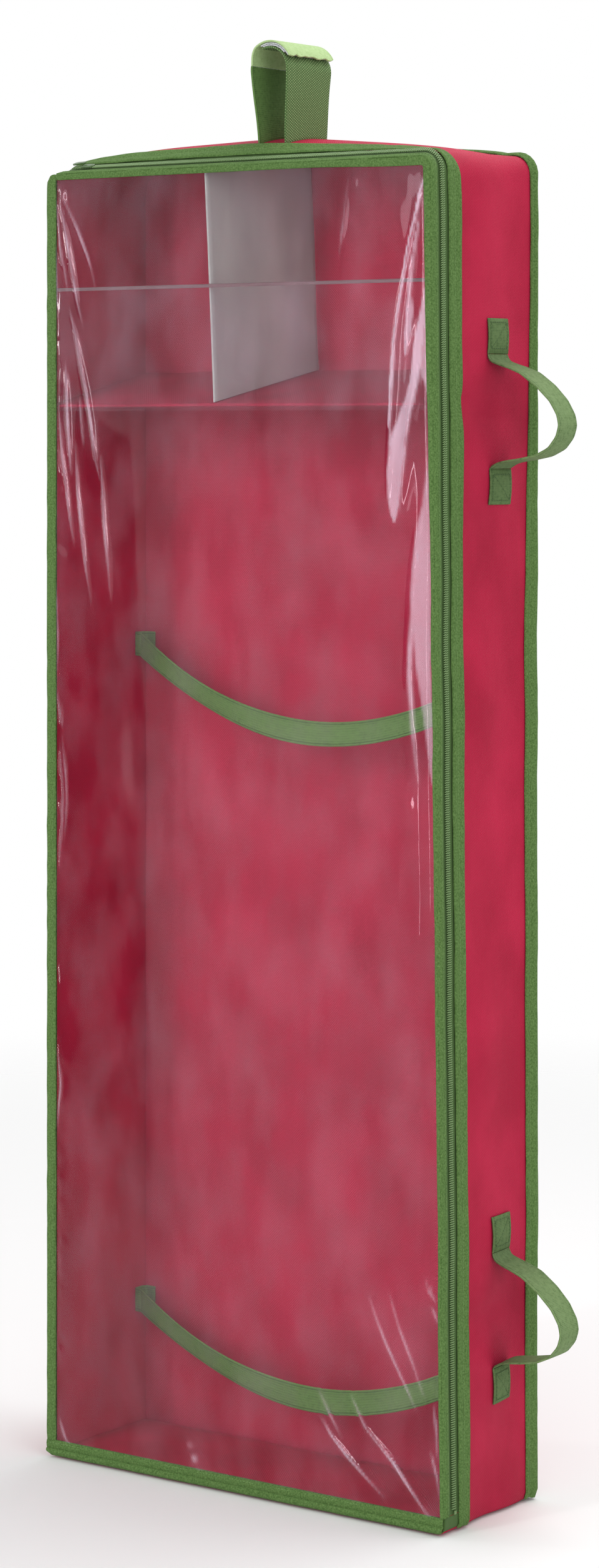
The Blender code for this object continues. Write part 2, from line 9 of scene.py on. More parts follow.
import bmesh
import bpy
import numpy as np
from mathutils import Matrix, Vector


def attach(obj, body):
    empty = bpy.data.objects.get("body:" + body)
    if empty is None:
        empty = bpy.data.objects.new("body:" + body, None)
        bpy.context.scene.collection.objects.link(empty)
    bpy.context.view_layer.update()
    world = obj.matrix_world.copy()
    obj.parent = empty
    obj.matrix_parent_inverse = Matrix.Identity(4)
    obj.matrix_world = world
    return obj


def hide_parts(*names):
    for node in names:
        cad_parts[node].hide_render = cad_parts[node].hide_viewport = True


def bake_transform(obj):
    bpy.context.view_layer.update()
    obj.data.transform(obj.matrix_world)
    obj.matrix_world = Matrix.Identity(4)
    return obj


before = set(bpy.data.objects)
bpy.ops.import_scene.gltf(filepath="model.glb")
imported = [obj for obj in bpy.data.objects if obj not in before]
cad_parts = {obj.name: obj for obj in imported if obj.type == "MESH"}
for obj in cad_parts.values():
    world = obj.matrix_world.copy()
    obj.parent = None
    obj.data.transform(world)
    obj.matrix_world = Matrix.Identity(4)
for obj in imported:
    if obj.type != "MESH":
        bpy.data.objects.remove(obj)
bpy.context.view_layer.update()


# ---------------------------------------------------------------- studio
# A pale floor under the organizer, white air all round it, a large lamp overhead,
# softer ones at the right and in front, and narrow ones that streak the vinyl.

FLOOR_WHITE, FLOOR_EDGE, FLOOR_LEVEL = (0.93, 0.93, 0.93), 3.0, -1.1075
FADE_START, FADE_END = 1.0, 2.2
AIR_LIGHT, AIR_SEEN = 0.62, 1.0
FLAG_CLOTH, FLAG_FOOT = (0.21, 0.14, 0.19), -1.7
CAMERA_PLACE, CAMERA_TURN = (1.729, -2.394, -0.281), (radians(90), 0.0, radians(35.71))
SENSOR_HEIGHT, FOCAL_LENGTH, LENS_SHIFT = 36.0, 86.1, -0.2267
# Lamps: name, place, height it faces under the rod, width, height and watts.
LAMPS = (
    ("overhead_lamp", (0.5, 0.75, 1.5), -0.3, 2.2, 1.4, 32),
    ("right_lamp", (2.55, -1.35, 0.1), -0.55, 1.2, 2.2, 17),
    ("fill_lamp", (1.9, -2.9, 0.5), -0.35, 1.4, 1.8, 12),
    ("front_softbox", (-0.76, -2.7, 0.32), -0.45, 0.8, 1.4, 10),
    ("front_streak_lamp", (-0.62, -2.6, 0.0), -0.55, 0.12, 2.0, 11),
    ("left_streak_lamp", (-2.6, -1.05, -0.2), -0.55, 0.12, 2.2, 12),
)


def add_object(name, data):
    """Object made from its data and put into the scene."""
    thing = bpy.data.objects.new(name, data)
    bpy.context.scene.collection.objects.link(thing)
    return thing


def add_mesh(name, points, faces=()):
    """Object made from points and faces."""
    mesh = bpy.data.meshes.new(name)
    mesh.from_pydata(points, [], faces)
    return add_object(name, mesh)


def wire(tree, node, inputs):
    """Give each input of a node its value, or a link from the socket given."""
    for socket, value in inputs.items():
        if isinstance(value, bpy.types.NodeSocket):
            tree.links.new(value, node.inputs[socket])
        else:
            node.inputs[socket].default_value = value
    return node


def add_node(tree, kind, inputs):
    """New node with its inputs."""
    return wire(tree, tree.nodes.new(kind), inputs)


def reckon(tree, operation, *values):
    """Result of a sum on values or sockets."""
    node = tree.nodes.new("ShaderNodeMath")
    node.operation = operation
    return wire(tree, node, dict(enumerate(values))).outputs["Value"]


def mix_shaders(tree, share, first, second):
    """Mix of two shaders."""
    mixer = add_node(tree, "ShaderNodeMixShader", {"Fac": share, 1: first, 2: second})
    return mixer.outputs["Shader"]


def new_material(name, colour, roughness):
    """Material with one shader, its node tree, and the shader."""
    material = bpy.data.materials.new(name)
    material.use_nodes = True
    tree = material.node_tree
    shader = tree.nodes["Principled BSDF"]
    wire(tree, shader, {"Base Color": (*colour, 1.0), "Roughness": roughness})
    return material, tree, shader


def lay_floor():
    """Pale floor just under the organizer, which fades out towards its edges."""
    material, tree, shader = new_material("pale_floor", FLOOR_WHITE, 0.9)
    far = tree.nodes.new("ShaderNodeVectorMath")
    far.operation = "LENGTH"
    wire(tree, far, {0: tree.nodes.new("ShaderNodeTexCoord").outputs["Object"]})
    limits = {"Value": far.outputs["Value"], "From Min": FADE_START, "From Max": FADE_END}
    fade = add_node(tree, "ShaderNodeMapRange", limits).outputs["Result"]
    clear = tree.nodes.new("ShaderNodeBsdfTransparent").outputs["BSDF"]
    surface = mix_shaders(tree, fade, shader.outputs["BSDF"], clear)
    wire(tree, tree.nodes["Material Output"], {"Surface": surface})
    corners = [(x * FLOOR_EDGE, y * FLOOR_EDGE, 0) for x, y in ((-1, -1), (1, -1), (1, 1), (-1, 1))]
    floor = add_mesh("floor", corners, [(0, 1, 2, 3)])
    floor.data.materials.append(material)
    floor.location = (0.0, 0.0, FLOOR_LEVEL)


def light_the_air():
    """White where it is seen straight, mirrored or through the vinyl; softer light elsewhere."""
    world = bpy.data.worlds.new("studio_air")
    bpy.context.scene.world = world
    world.use_nodes = True
    tree = world.node_tree
    white = (1.0, 1.0, 1.0, 1.0)
    soft = wire(tree, tree.nodes["Background"], {"Color": white, "Strength": AIR_LIGHT})
    bright = add_node(tree, "ShaderNodeBackground", {"Color": white, "Strength": AIR_SEEN})
    path = tree.nodes.new("ShaderNodeLightPath")
    seen = path.outputs["Is Camera Ray"]
    for ray in ("Is Glossy Ray", "Is Transmission Ray"):
        seen = reckon(tree, "MAXIMUM", seen, path.outputs[ray])
    air = mix_shaders(tree, seen, soft.outputs["Background"], bright.outputs["Background"])
    wire(tree, tree.nodes["World Output"], {"Surface": air})


def stand_flag():
    """Dark card low on the left, which keeps the haze off that side of the clear front."""
    near, far = (-1.70, -2.00), (-2.45, -0.95)
    corners = [(*near, FLAG_FOOT), (*far, FLAG_FOOT), (*far, -0.12), (*near, -0.32)]
    flag = add_mesh("dark_flag", corners, [(0, 1, 2, 3)])
    flag.data.materials.append(new_material("flag_cloth", FLAG_CLOTH, 0.9)[0])
    flag.visible_camera = False


def hang_lamp(name, place, aim_height, width, height, watts):
    """Rectangular lamp at a place, facing a height under the rod."""
    light = bpy.data.lights.new(name, "AREA")
    light.shape = "RECTANGLE"
    light.size, light.size_y, light.energy = width, height, watts
    lamp = add_object(name, light)
    lamp.location = place
    lamp.rotation_mode = "QUATERNION"
    aim = Vector(np.subtract((0.0, 0.0, aim_height), place))
    lamp.rotation_quaternion = aim.to_track_quat("-Z", "Y")


def set_camera():
    """Camera level with the upper handle, looking past the right front corner."""
    lens = bpy.data.cameras.new("camera")
    lens.sensor_fit = "VERTICAL"
    lens.sensor_height, lens.lens, lens.shift_y = SENSOR_HEIGHT, FOCAL_LENGTH, LENS_SHIFT
    camera = add_object("camera", lens)
    camera.location, camera.rotation_euler = CAMERA_PLACE, CAMERA_TURN
    bpy.context.scene.camera = camera
    bpy.context.scene.view_settings.view_transform = "Standard"


lay_floor()
light_the_air()
set_camera()
stand_flag()
for lamp in LAMPS:
    hang_lamp(*lamp)


# ---------------------------------------------------------------- crimson box
# The box is sewn from embossed crimson non-woven cloth. One wrap goes over the
# top and down the right side; left side, back and bottom are sewn to it, and the
# base board lies on the bottom in a cover of the same cloth.

WIDTH, DEPTH, HEIGHT = 0.382, 0.128, 1.029
HALF = WIDTH / 2
CLOTH = 0.0012
# Where the underside hangs in the world, and how far left of the rod's middle.
UNDERSIDE, SHIFT_LEFT = -1.106, 0.005
# How far the soft side leans in at its front, puffs out, and dips by a handle.
LEAN, PUFF, HANDLE_DENT = 0.012, 0.0042, 0.0050
# How high the top climbs behind the zip for each metre back, and how it swells.
CLIMB, FRONT_SWELL, BACK_SWELL = 0.4663, 0.011, 0.0078
FRONT_RADIUS, BAND_RADIUS, BACK_RADIUS = 0.009, 0.025, 0.014
FRONT_SEAM, RIM_DEPTH, COIL_END, BAND_MIDDLE, BAND_END = 0.0028, 0.0025, 0.0166, 0.0236, 0.0337
# Runs along the wrap from its left end: to the corner, round it, and to the bottom.
TOP_RUN = WIDTH - BAND_RADIUS
SIDE_START = TOP_RUN + BAND_RADIUS * pi / 2
WRAP_RUN = SIDE_START + HEIGHT - BAND_RADIUS
HANDLE_HEIGHTS, HANDLE_DEPTH = (0.838, 0.156), 0.077
TUCK_HEIGHT = 0.853
# Left or right, height and radius of each soft corner seen from the front.
SOFT_CORNERS = ((-1, HEIGHT, 0.0085), (-1, 0.0, 0.006), (1, 0.0, 0.006))
CRIMSON, CRIMSON_SHADE = (0.50, 0.016, 0.060), (0.36, 0.008, 0.037)
# Share of its thickness that a soft piece keeps at its cut edges.
THINNED = 0.4


def ease(share):
    """Smooth step from 0 to 1."""
    share = np.clip(share, 0.0, 1.0)
    return share * share * (3 - 2 * share)


def drift(u, v, seed):
    """Smooth random drift between -1 and 1 over two measures."""
    lattice = np.random.default_rng(seed).uniform(-1, 1, (64, 64))
    u, v = np.broadcast_arrays(np.asarray(u, float), np.asarray(v, float))
    column, row = np.floor(u).astype(int), np.floor(v).astype(int)
    s, t = ease(u - column), ease(v - row)
    near = lattice[column % 64, row % 64] * (1 - s) + lattice[(column + 1) % 64, row % 64] * s
    above = (row + 1) % 64
    far = lattice[column % 64, above] * (1 - s) + lattice[(column + 1) % 64, above] * s
    return near * (1 - t) + far * t


def hill(off, spread):
    """Soft hill: 1 in its middle, falling off with the distance from it."""
    return np.exp(-((off / spread) ** 2))


def side_puff(depth, height):
    """How far the soft right side stands out from flat, with its dents and its tuck."""
    middle = np.sin(pi * np.clip((depth - 0.02) / (DEPTH - 0.034), 0, 1))
    puff = middle * (0.0012 + PUFF * drift(depth / 0.055, height / 0.09, 5))
    for level in HANDLE_HEIGHTS:
        dent = hill(height - level + 0.002, 0.009) * hill(depth - 0.066, 0.030)
        pulled = hill(abs(height - level) - 0.058, 0.018) * hill(depth - HANDLE_DEPTH, 0.02)
        puff = puff - HANDLE_DENT * dent * middle + 0.0014 * pulled
    tuck = height - TUCK_HEIGHT - 0.14 * (depth - 0.07)
    dent = np.exp(-np.abs(tuck / np.where(tuck > 0, 0.007, 0.013)) ** 1.4)
    rim = 0.0007 * drift(0.5, height / 0.055, 6) * ease((HEIGHT - height) / 0.05)
    return puff - 0.0038 * middle**0.7 * dent + rim * ease(height / 0.05)


def round_corners(x, depth, height):
    """Soften the box's square corners, seen from the front."""
    for side, base, radius in SOFT_CORNERS:
        up = 1 if base else -1
        u = np.maximum((side * x - HALF) / radius + 1, 0)
        v = np.maximum((up * (height - base)) / radius + 1, 0)
        both = (u > 0) & (v > 0)
        pull_u = u * (1 - np.sqrt(1 - np.minimum(v, 1) ** 2 / 2))
        pull_v = v * (1 - np.sqrt(1 - np.minimum(u, 1) ** 2 / 2))
        x = x - side * np.where(both, pull_u * radius, 0)
        height = height - up * np.where(both, pull_v * radius, 0)
    return x, depth, height


def box_place(x, depth, height):
    """World place of a point of the pattern, with the soft side's lean and puff."""
    x, depth, height = round_corners(*np.broadcast_arrays(x, depth, height))
    lean = LEAN * np.maximum(x, 0) / HALF * height / HEIGHT * (1 - depth / DEPTH)
    puff = side_puff(depth, height) * ease((x - 0.155) / 0.034)
    return np.stack([x - lean + puff - SHIFT_LEFT, depth - DEPTH / 2, height + UNDERSIDE], -1)


def top_height(x, depth):
    """Height of the top, which climbs behind the zip and swells under the strap."""
    climb = np.clip(depth, RIM_DEPTH, COIL_END) - RIM_DEPTH
    rise = CLIMB * climb * ease((x + HALF) / 0.017)
    along = np.clip((x + HALF) / TOP_RUN, 0, 1)
    hump = np.maximum(np.sin(pi * along**0.8), 0) ** 0.7
    front = np.clip((depth - COIL_END) / (BAND_END - COIL_END), 0, 1)
    back = np.clip((depth - BAND_END) / (DEPTH - BAND_END), 0, 1)
    soft = 0.0009 * drift(x / 0.07, depth / 0.05, 7) * front * (1 - back**4)
    return HEIGHT + rise + hump * (FRONT_SWELL * front + BACK_SWELL * np.sin(pi * back)) + soft


def wrap(run, depth, level=0.0):
    """Place over the top and down the right side, raised by level."""
    run, depth = np.broadcast_arrays(np.asarray(run, float), np.asarray(depth, float))

    def lay(run, depth):
        front = np.clip((depth - RIM_DEPTH) / (BAND_END - RIM_DEPTH), 0, 1)
        back = np.clip((depth - BAND_END) / (DEPTH - BAND_END), 0, 1)
        radius = FRONT_RADIUS + (BAND_RADIUS - FRONT_RADIUS) * front
        radius = radius + (BACK_RADIUS - BAND_RADIUS) * back
        flat = BAND_RADIUS - radius
        walk = np.clip((run - TOP_RUN) / (SIDE_START - TOP_RUN), 0, 1)
        walk = walk * (2 * flat + radius * pi / 2)
        turn = np.clip((walk - flat) / radius, 0, pi / 2)
        down = np.maximum(walk - flat - radius * pi / 2, 0)
        x = -HALF + np.minimum(run, TOP_RUN) + np.minimum(walk, flat) + radius * np.sin(turn)
        start = top_height(x, depth) - radius * (1 - np.cos(turn)) - down
        side = (run - SIDE_START) / (WRAP_RUN - SIDE_START)
        return box_place(x, depth, start * (1 - np.maximum(side, 0)))

    step = 0.0004
    along = lay(run + step, depth) - lay(run - step, depth)
    back = lay(run, depth + step) - lay(run, depth - step)
    out = np.cross(along, back)
    out /= np.linalg.norm(out, axis=-1, keepdims=True)
    return lay(run, depth) + out * np.asarray(level)[..., None]


def run_at(height):
    """Run along the wrap that reaches a height on the right side."""
    return SIDE_START + (WRAP_RUN - SIDE_START) * (1 - height / (HEIGHT - 0.0185))


def left_wall(height, depth, level=0.0):
    """Place on the left side, raised by level."""
    wave = 0.0011 * drift(np.asarray(depth) / 0.06, np.asarray(height) / 0.16, 8)
    wave = wave * np.sin(pi * np.clip(depth / DEPTH, 0, 1))
    return box_place(-HALF - level - wave, depth, height)


def underside(x, depth, level=0.0):
    """Place on the underside, lowered by level."""
    return box_place(x, depth, -np.asarray(level))


def spaced(start, end, steps, edge=0.0):
    """Even measures from start to end, with a narrow step at each cut edge."""
    if not edge:
        return np.linspace(start, end, steps + 1)
    turn = edge if end > start else -edge
    inner = np.linspace(start + turn, end - turn, steps + 1)
    return np.concatenate([[start], inner, [end]])


def spans(*parts):
    """Even measures over parts that follow each other, each (start, end, steps)."""
    rows = [spaced(*part) for part in parts]
    return np.concatenate([rows[0]] + [row[1:] for row in rows[1:]])


def running(steps):
    """Length walked so far, from the length of each step."""
    return np.concatenate([[0], np.cumsum(steps)])


def shell(name, rows, thickness, finish, edge=THINNED):
    """Closed thin piece round a grid of places, with its cut edges thinned to edge."""
    rows = np.asarray(rows, float)
    count, columns = rows.shape[:2]
    out = np.cross(np.gradient(rows, axis=0), np.gradient(rows, axis=1))
    out /= np.maximum(np.linalg.norm(out, axis=-1, keepdims=True), 1e-12)
    half = np.full((count, columns, 1), thickness / 2)
    for line in (half[0], half[-1], half[:, 0], half[:, -1]):
        line *= edge
    points = np.concatenate([rows + out * half, rows - out * half]).reshape(-1, 3)
    under = count * columns
    index = np.arange(under).reshape(count, columns)
    a, b, c, d = index[:-1, :-1], index[1:, :-1], index[1:, 1:], index[:-1, 1:]
    face = np.stack([a, b, c, d], -1).reshape(-1, 4)
    loop = np.concatenate([index[:, 0], index[-1, 1:], index[-2::-1, -1], index[0, -2::-1]])
    rim = np.stack([loop[1:], loop[:-1], loop[:-1] + under, loop[1:] + under], -1)
    faces = np.concatenate([face, face[:, ::-1] + under, rim])
    piece = add_mesh(name, points.tolist(), faces.tolist())
    mesh = piece.data
    u, v = (
        running(np.linalg.norm(np.diff(rows, axis=axis), axis=-1).mean(1 - axis)) for axis in (0, 1)
    )
    weave = np.stack(np.meshgrid(u, v, indexing="ij"), -1).reshape(-1, 2)
    corner = np.empty(len(mesh.loops), int)
    mesh.loops.foreach_get("vertex_index", corner)
    layer = mesh.uv_layers.new(name="weave")
    layer.data.foreach_set("uv", weave[corner % under].ravel())
    mesh.materials.append(finish)
    mesh.shade_smooth()
    mesh.set_sharp_from_angle(angle=radians(50))
    return piece


def fit(piece, node, body="organizer_body"):
    """Let a piece move with a body in place of a solid."""
    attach(piece, body)
    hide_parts(node)
    return piece


def make(name, rows, thickness, finish, node, body="organizer_body", edge=THINNED):
    """Thin piece round a grid of places, in place of a solid."""
    return fit(shell(name, rows, thickness, finish, edge), node, body)


def stretch(tree, scale=(1.0, 1.0, 1.0), source="Object"):
    """Place on a piece, scaled to stretch a pattern."""
    where = tree.nodes.new("ShaderNodeTexCoord").outputs[source]
    mapping = add_node(tree, "ShaderNodeMapping", {"Vector": where, "Scale": scale})
    return mapping.outputs["Vector"]


def noise(tree, scale, detail, stretched=(1.0, 1.0, 1.0)):
    """Noise over a piece."""
    inputs = {"Scale": scale, "Detail": detail, "Vector": stretch(tree, stretched)}
    return add_node(tree, "ShaderNodeTexNoise", inputs).outputs["Fac"]


def bands(tree, place, scale, direction):
    """Even bands over a piece."""
    inputs = {"Vector": place, "Scale": scale, "Distortion": 0.0}
    wave = add_node(tree, "ShaderNodeTexWave", inputs)
    wave.bands_direction = direction
    return wave.outputs["Fac"]


def crossed(tree, one, other, source="Object"):
    """Two sets of fine diagonal bands that cross."""
    first = bands(tree, stretch(tree, one, source), 300, "DIAGONAL")
    second = bands(tree, stretch(tree, other, source), 300, "DIAGONAL")
    return reckon(tree, "MULTIPLY", first, second)


def tint(tree, shader, value, low, high, start, end):
    """Colour a shader from low to high with a value."""
    ramp = add_node(tree, "ShaderNodeValToRGB", {"Fac": value})
    marks = ramp.color_ramp.elements
    marks[0].position, marks[0].color = start, (*low, 1.0)
    marks[1].position, marks[1].color = end, (*high, 1.0)
    wire(tree, shader, {"Base Color": ramp.outputs["Color"]})


def emboss(tree, shader, *reliefs):
    """Reliefs on top of each other, each (value, strength, distance)."""
    for value, strength, distance in reliefs:
        inputs = {"Height": value, "Strength": strength, "Distance": distance}
        for under in shader.inputs["Normal"].links:
            inputs["Normal"] = under.from_socket
        bump = add_node(tree, "ShaderNodeBump", inputs)
        wire(tree, shader, {"Normal": bump.outputs["Normal"]})


def crimson_cloth():
    """Crimson non-woven cloth with a fine crossed emboss."""
    material, tree, shader = new_material("crimson_cloth", CRIMSON, 0.68)
    wire(tree, shader, {"Specular IOR Level": 0.18})
    cross = crossed(tree, (1.0, 1.0, 1.0), (1.0, 1.0, -1.0))
    both = reckon(tree, "MULTIPLY_ADD", cross, 0.22, noise(tree, 20, 10, (1.0, 1.0, 0.7)))
    tint(tree, shader, both, CRIMSON_SHADE, CRIMSON, 0.36, 0.80)
    emboss(tree, shader, (cross, 0.6, 0.0004), (noise(tree, 700, 2), 0.25, 0.0003))
    return material


def sew_box(cloth):
    """Wrap, left side, back, bottom and covered base board."""
    runs = spans((-0.0007, TOP_RUN, 60), (TOP_RUN, SIDE_START, 10), (SIDE_START, WRAP_RUN, 150))
    rows = wrap(runs[:, None], spaced(BAND_MIDDLE, DEPTH, 26)[None], -CLOTH / 2)
    make("top_and_right_side", rows, CLOTH, cloth, "top_and_right_panel", edge=1.0)

    heights = spaced(0, HEIGHT - 0.0003, 110)[:, None]
    rows = left_wall(heights, spaced(FRONT_SEAM, DEPTH, 22)[None], -CLOTH / 2)
    make("left_side", rows[:, ::-1], CLOTH, cloth, "left_side_panel", edge=1.0)

    inner = HALF - 0.0015
    x = spaced(-inner, inner, 60)[None]
    share = spaced(0, 1, 120)[:, None]
    corner, radius = np.maximum(x - (HALF - BACK_RADIUS), 0), BACK_RADIUS - 0.0015
    drop = radius - np.sqrt(np.maximum(radius**2 - corner**2, 0))
    ceiling = top_height(x, DEPTH - CLOTH / 2) - 0.0015 - drop
    height = 0.001 + (ceiling - 0.001) * share
    pinned = np.sqrt(np.maximum(np.sin(pi * (x + inner) / (2 * inner)), 0))
    pinned = pinned * ease(share * 12) * ease((1 - share) * 12)
    folds = 0.0012 + 0.0022 * drift(x / 0.040, height / 0.6, 9)
    folds = folds + 0.0010 * drift(x / 0.018, height / 0.25, 10)
    rows = box_place(x, DEPTH - CLOTH / 2 + np.maximum(folds * pinned, -0.0008), height)
    make("back", rows[:, ::-1], CLOTH, cloth, "back_panel", edge=1.0)

    x = spaced(-inner, inner, 40)[:, None]
    rows = underside(x, spaced(FRONT_SEAM, 0.1177, 14)[None], -CLOTH / 2)
    make("bottom", rows[:, ::-1], CLOTH, cloth, "bottom_panel", edge=1.0)

    x = spaced(-0.186, 0.186, 40, 0.0012)[:, None]
    rows = underside(x, spaced(0.0075, 0.1215, 14, 0.0012)[None], -0.0029)
    make("covered_base_board", rows[:, ::-1], 0.0026, cloth, "base_board", edge=0.3)


crimson = crimson_cloth()
sew_box(crimson)


# ---------------------------------------------------------------- green bindings
# Soft green binding tape, folded over the raw edges and stitched down: round the
# clear front, in a wide band behind the zip, and in rolls round the back.

GREEN, GREEN_SHADE, GREEN_PALE = (0.092, 0.180, 0.045), (0.055, 0.118, 0.025), (0.140, 0.245, 0.075)
STITCH = 0.0028
TAPE = 0.0007
FLAP_SEAM, BAND_SEAM, ROLL_END = 0.0050, 0.0270, 0.1294
OPENING_START, OPENING_END = 0.0095, run_at(0.0130)


def binding_tape():
    """Soft mottled green tape."""
    material, tree, shader = new_material("green_binding", GREEN, 0.85)
    wire(tree, shader, {"Specular IOR Level": 0.2})
    tint(tree, shader, noise(tree, 800, 4), GREEN_SHADE, GREEN_PALE, 0.32, 0.75)
    emboss(tree, shader, (noise(tree, 900, 3), 0.5, 0.0004), (noise(tree, 130, 2), 0.25, 0.0008))
    return material


def thread_finish(name, colour):
    """Sewing thread of a colour."""
    return new_material(name, colour, 0.7)[0]


def repeat_tree():
    """Geometry Nodes that repeat a pattern at points, and the sockets they are given."""
    tree = bpy.data.node_groups.new("repeat", "GeometryNodeTree")
    sockets = {}
    for name, kind in (
        ("Geometry", "Geometry"), ("Pattern", "Object"), ("Finish", "Material"), ("Seed", "Int")
    ):
        kind = "NodeSocket" + kind
        sockets[name] = tree.interface.new_socket(name=name, in_out="INPUT", socket_type=kind)
    tree.interface.new_socket(name="Geometry", in_out="OUTPUT", socket_type="NodeSocketGeometry")
    given = tree.nodes.new("NodeGroupInput").outputs
    facing = {}
    for name, axis, pivot in (("along", "X", "AUTO"), ("out", "Z", "X")):
        vector = tree.nodes.new("GeometryNodeInputNamedAttribute")
        vector.data_type = "FLOAT_VECTOR"
        wire(tree, vector, {"Name": name})
        turn = tree.nodes.new("FunctionNodeAlignRotationToVector")
        turn.axis, turn.pivot_axis = axis, pivot
        wire(tree, turn, {"Vector": vector.outputs["Attribute"], **facing})
        facing = {"Rotation": turn.outputs["Rotation"]}
    size = tree.nodes.new("FunctionNodeRandomValue")
    size.data_type = "FLOAT"
    wire(tree, size, {2: 0.96, 3: 1.04, "Seed": given["Seed"]})
    info = add_node(tree, "GeometryNodeObjectInfo", {"Object": given["Pattern"]})
    inputs = {"Points": given["Geometry"], "Instance": info.outputs["Geometry"], **facing}
    place = add_node(tree, "GeometryNodeInstanceOnPoints", {**inputs, "Scale": size.outputs[1]})
    inputs = {"Geometry": place.outputs["Instances"]}
    join = add_node(tree, "GeometryNodeRealizeInstances", inputs)
    inputs = {"Geometry": join.outputs["Geometry"], "Material": given["Finish"]}
    paint = add_node(tree, "GeometryNodeSetMaterial", inputs)
    add_node(tree, "NodeGroupOutput", {"Geometry": paint.outputs["Geometry"]})
    return tree, sockets


def repeat_along(name, pattern, places, along, out, finish):
    """One pattern repeated at places by Geometry Nodes, joined into one piece."""
    points = add_mesh(name, places.tolist())
    mesh = points.data
    for label, vectors in (("along", along), ("out", out)):
        layer = mesh.attributes.new(label, "FLOAT_VECTOR", "POINT")
        layer.data.foreach_set("vector", np.asarray(vectors, np.float32).ravel())
    modifier = points.modifiers.new("Repeat", "NODES")
    modifier.node_group = repeat_nodes
    for label, value in (("Pattern", pattern), ("Finish", finish), ("Seed", 11)):
        modifier[repeat_sockets[label].identifier] = value
    scene_now = bpy.context.evaluated_depsgraph_get()
    made = bpy.data.meshes.new_from_object(points.evaluated_get(scene_now))
    points.modifiers.remove(modifier)
    bpy.data.objects.remove(points, do_unlink=True)
    bpy.data.meshes.remove(mesh)
    made.name = name
    return add_object(name, made)


def knot(name, sides, sections):
    """Closed little solid from rings of (x, width, height, lift), to be repeated."""
    points, faces = [], []
    for x, width, height, lift in sections:
        for side in range(sides):
            turn = 2 * pi * side / sides
            points.append((x, width * cos(turn), lift + height * sin(turn)))
    last = len(sections) - 1
    for ring in range(last):
        for side in range(sides):
            a, b = ring * sides + side, ring * sides + (side + 1) % sides
            faces.append((b, a, a + sides, b + sides))
    faces.append(tuple(range(sides)))
    faces.append(tuple(last * sides + side for side in reversed(range(sides))))
    pattern = add_mesh(name, points, faces)
    pattern.data.shade_smooth()
    pattern.hide_render = True
    return pattern


def between(at, known, values):
    """Rows of values at places between the known ones."""
    return np.stack([np.interp(at, known, column) for column in np.transpose(values)], -1)


def along_line(line, spacing, start=0.0):
    """Evenly spaced places on a line of points, and the direction at each."""
    length = running(np.linalg.norm(np.diff(line, axis=0), axis=1))
    stops = np.arange(spacing / 2 + start, length[-1], spacing)
    ahead, behind = (between(stops + step, length, line) for step in (1e-4, -1e-4))
    return between(stops, length, line), ahead - behind, stops / length[-1]


def stitch_line(name, line, out, finish, spacing=STITCH):
    """Row of machine stitches along a line that faces out."""
    places, along, shares = along_line(line, spacing)
    facing = between(shares, np.linspace(0, 1, len(out)), out)
    return repeat_along(name, stitch, places, along, facing, finish)


def sewn(name, rows, body):
    """Rows of stitches joined into one piece, which moves with a body."""
    joined = bmesh.new()
    for row in rows:
        joined.from_mesh(row.data)
    joined.to_mesh(rows[0].data)
    joined.free()
    for row in rows[1:]:
        bpy.data.objects.remove(row, do_unlink=True)
    rows[0].name = name
    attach(rows[0], body)


def wrap_runs(start, end, step=0.006):
    """Runs along the wrap, closer together round the corner."""
    parts = []
    stops = ((0, TOP_RUN, step), (TOP_RUN, SIDE_START, 0.0035), (SIDE_START, WRAP_RUN, step))
    for first, last, gap in stops:
        low, high = max(first, start), min(last, end)
        if high > low:
            parts.append((low, high, max(int((high - low) / gap), 1)))
    return spans(*parts)[:, None]


def outward(runs, depth):
    """Directions straight out of the wrap along a run."""
    return wrap(runs, depth, 1.0)[:, 0] - wrap(runs, depth, 0.0)[:, 0]


def profile(*points):
    """Depths and levels of a strip's cross section."""
    depths, levels = zip(*points)
    return np.array(depths)[None], np.array(levels)[None]


def soft_level(runs, depths, amount, seed):
    """Unevenness of a soft tape along its run."""
    return amount * drift(runs / 0.011, depths / 0.006, seed)


def flange(runs):
    """Share of the front binding's full face that shows along its run."""
    side = runs - TOP_RUN
    return 0.62 + 0.28 * ease((side + 0.10) / 0.10) - 0.54 * ease((side - 0.04) / 0.36)


def slimmer(runs):
    """Share of the back roll's full width along its run."""
    return 0.52 + 0.48 * ease((runs - TOP_RUN - 0.09) / 0.30)


def rumple(rows, runs, depths, levels, amount, seed):
    """Uneven front of a channel folded over the rim."""
    rows[..., 1] += soft_level(runs, levels, amount, seed) * (depths < 0.001)
    return rows


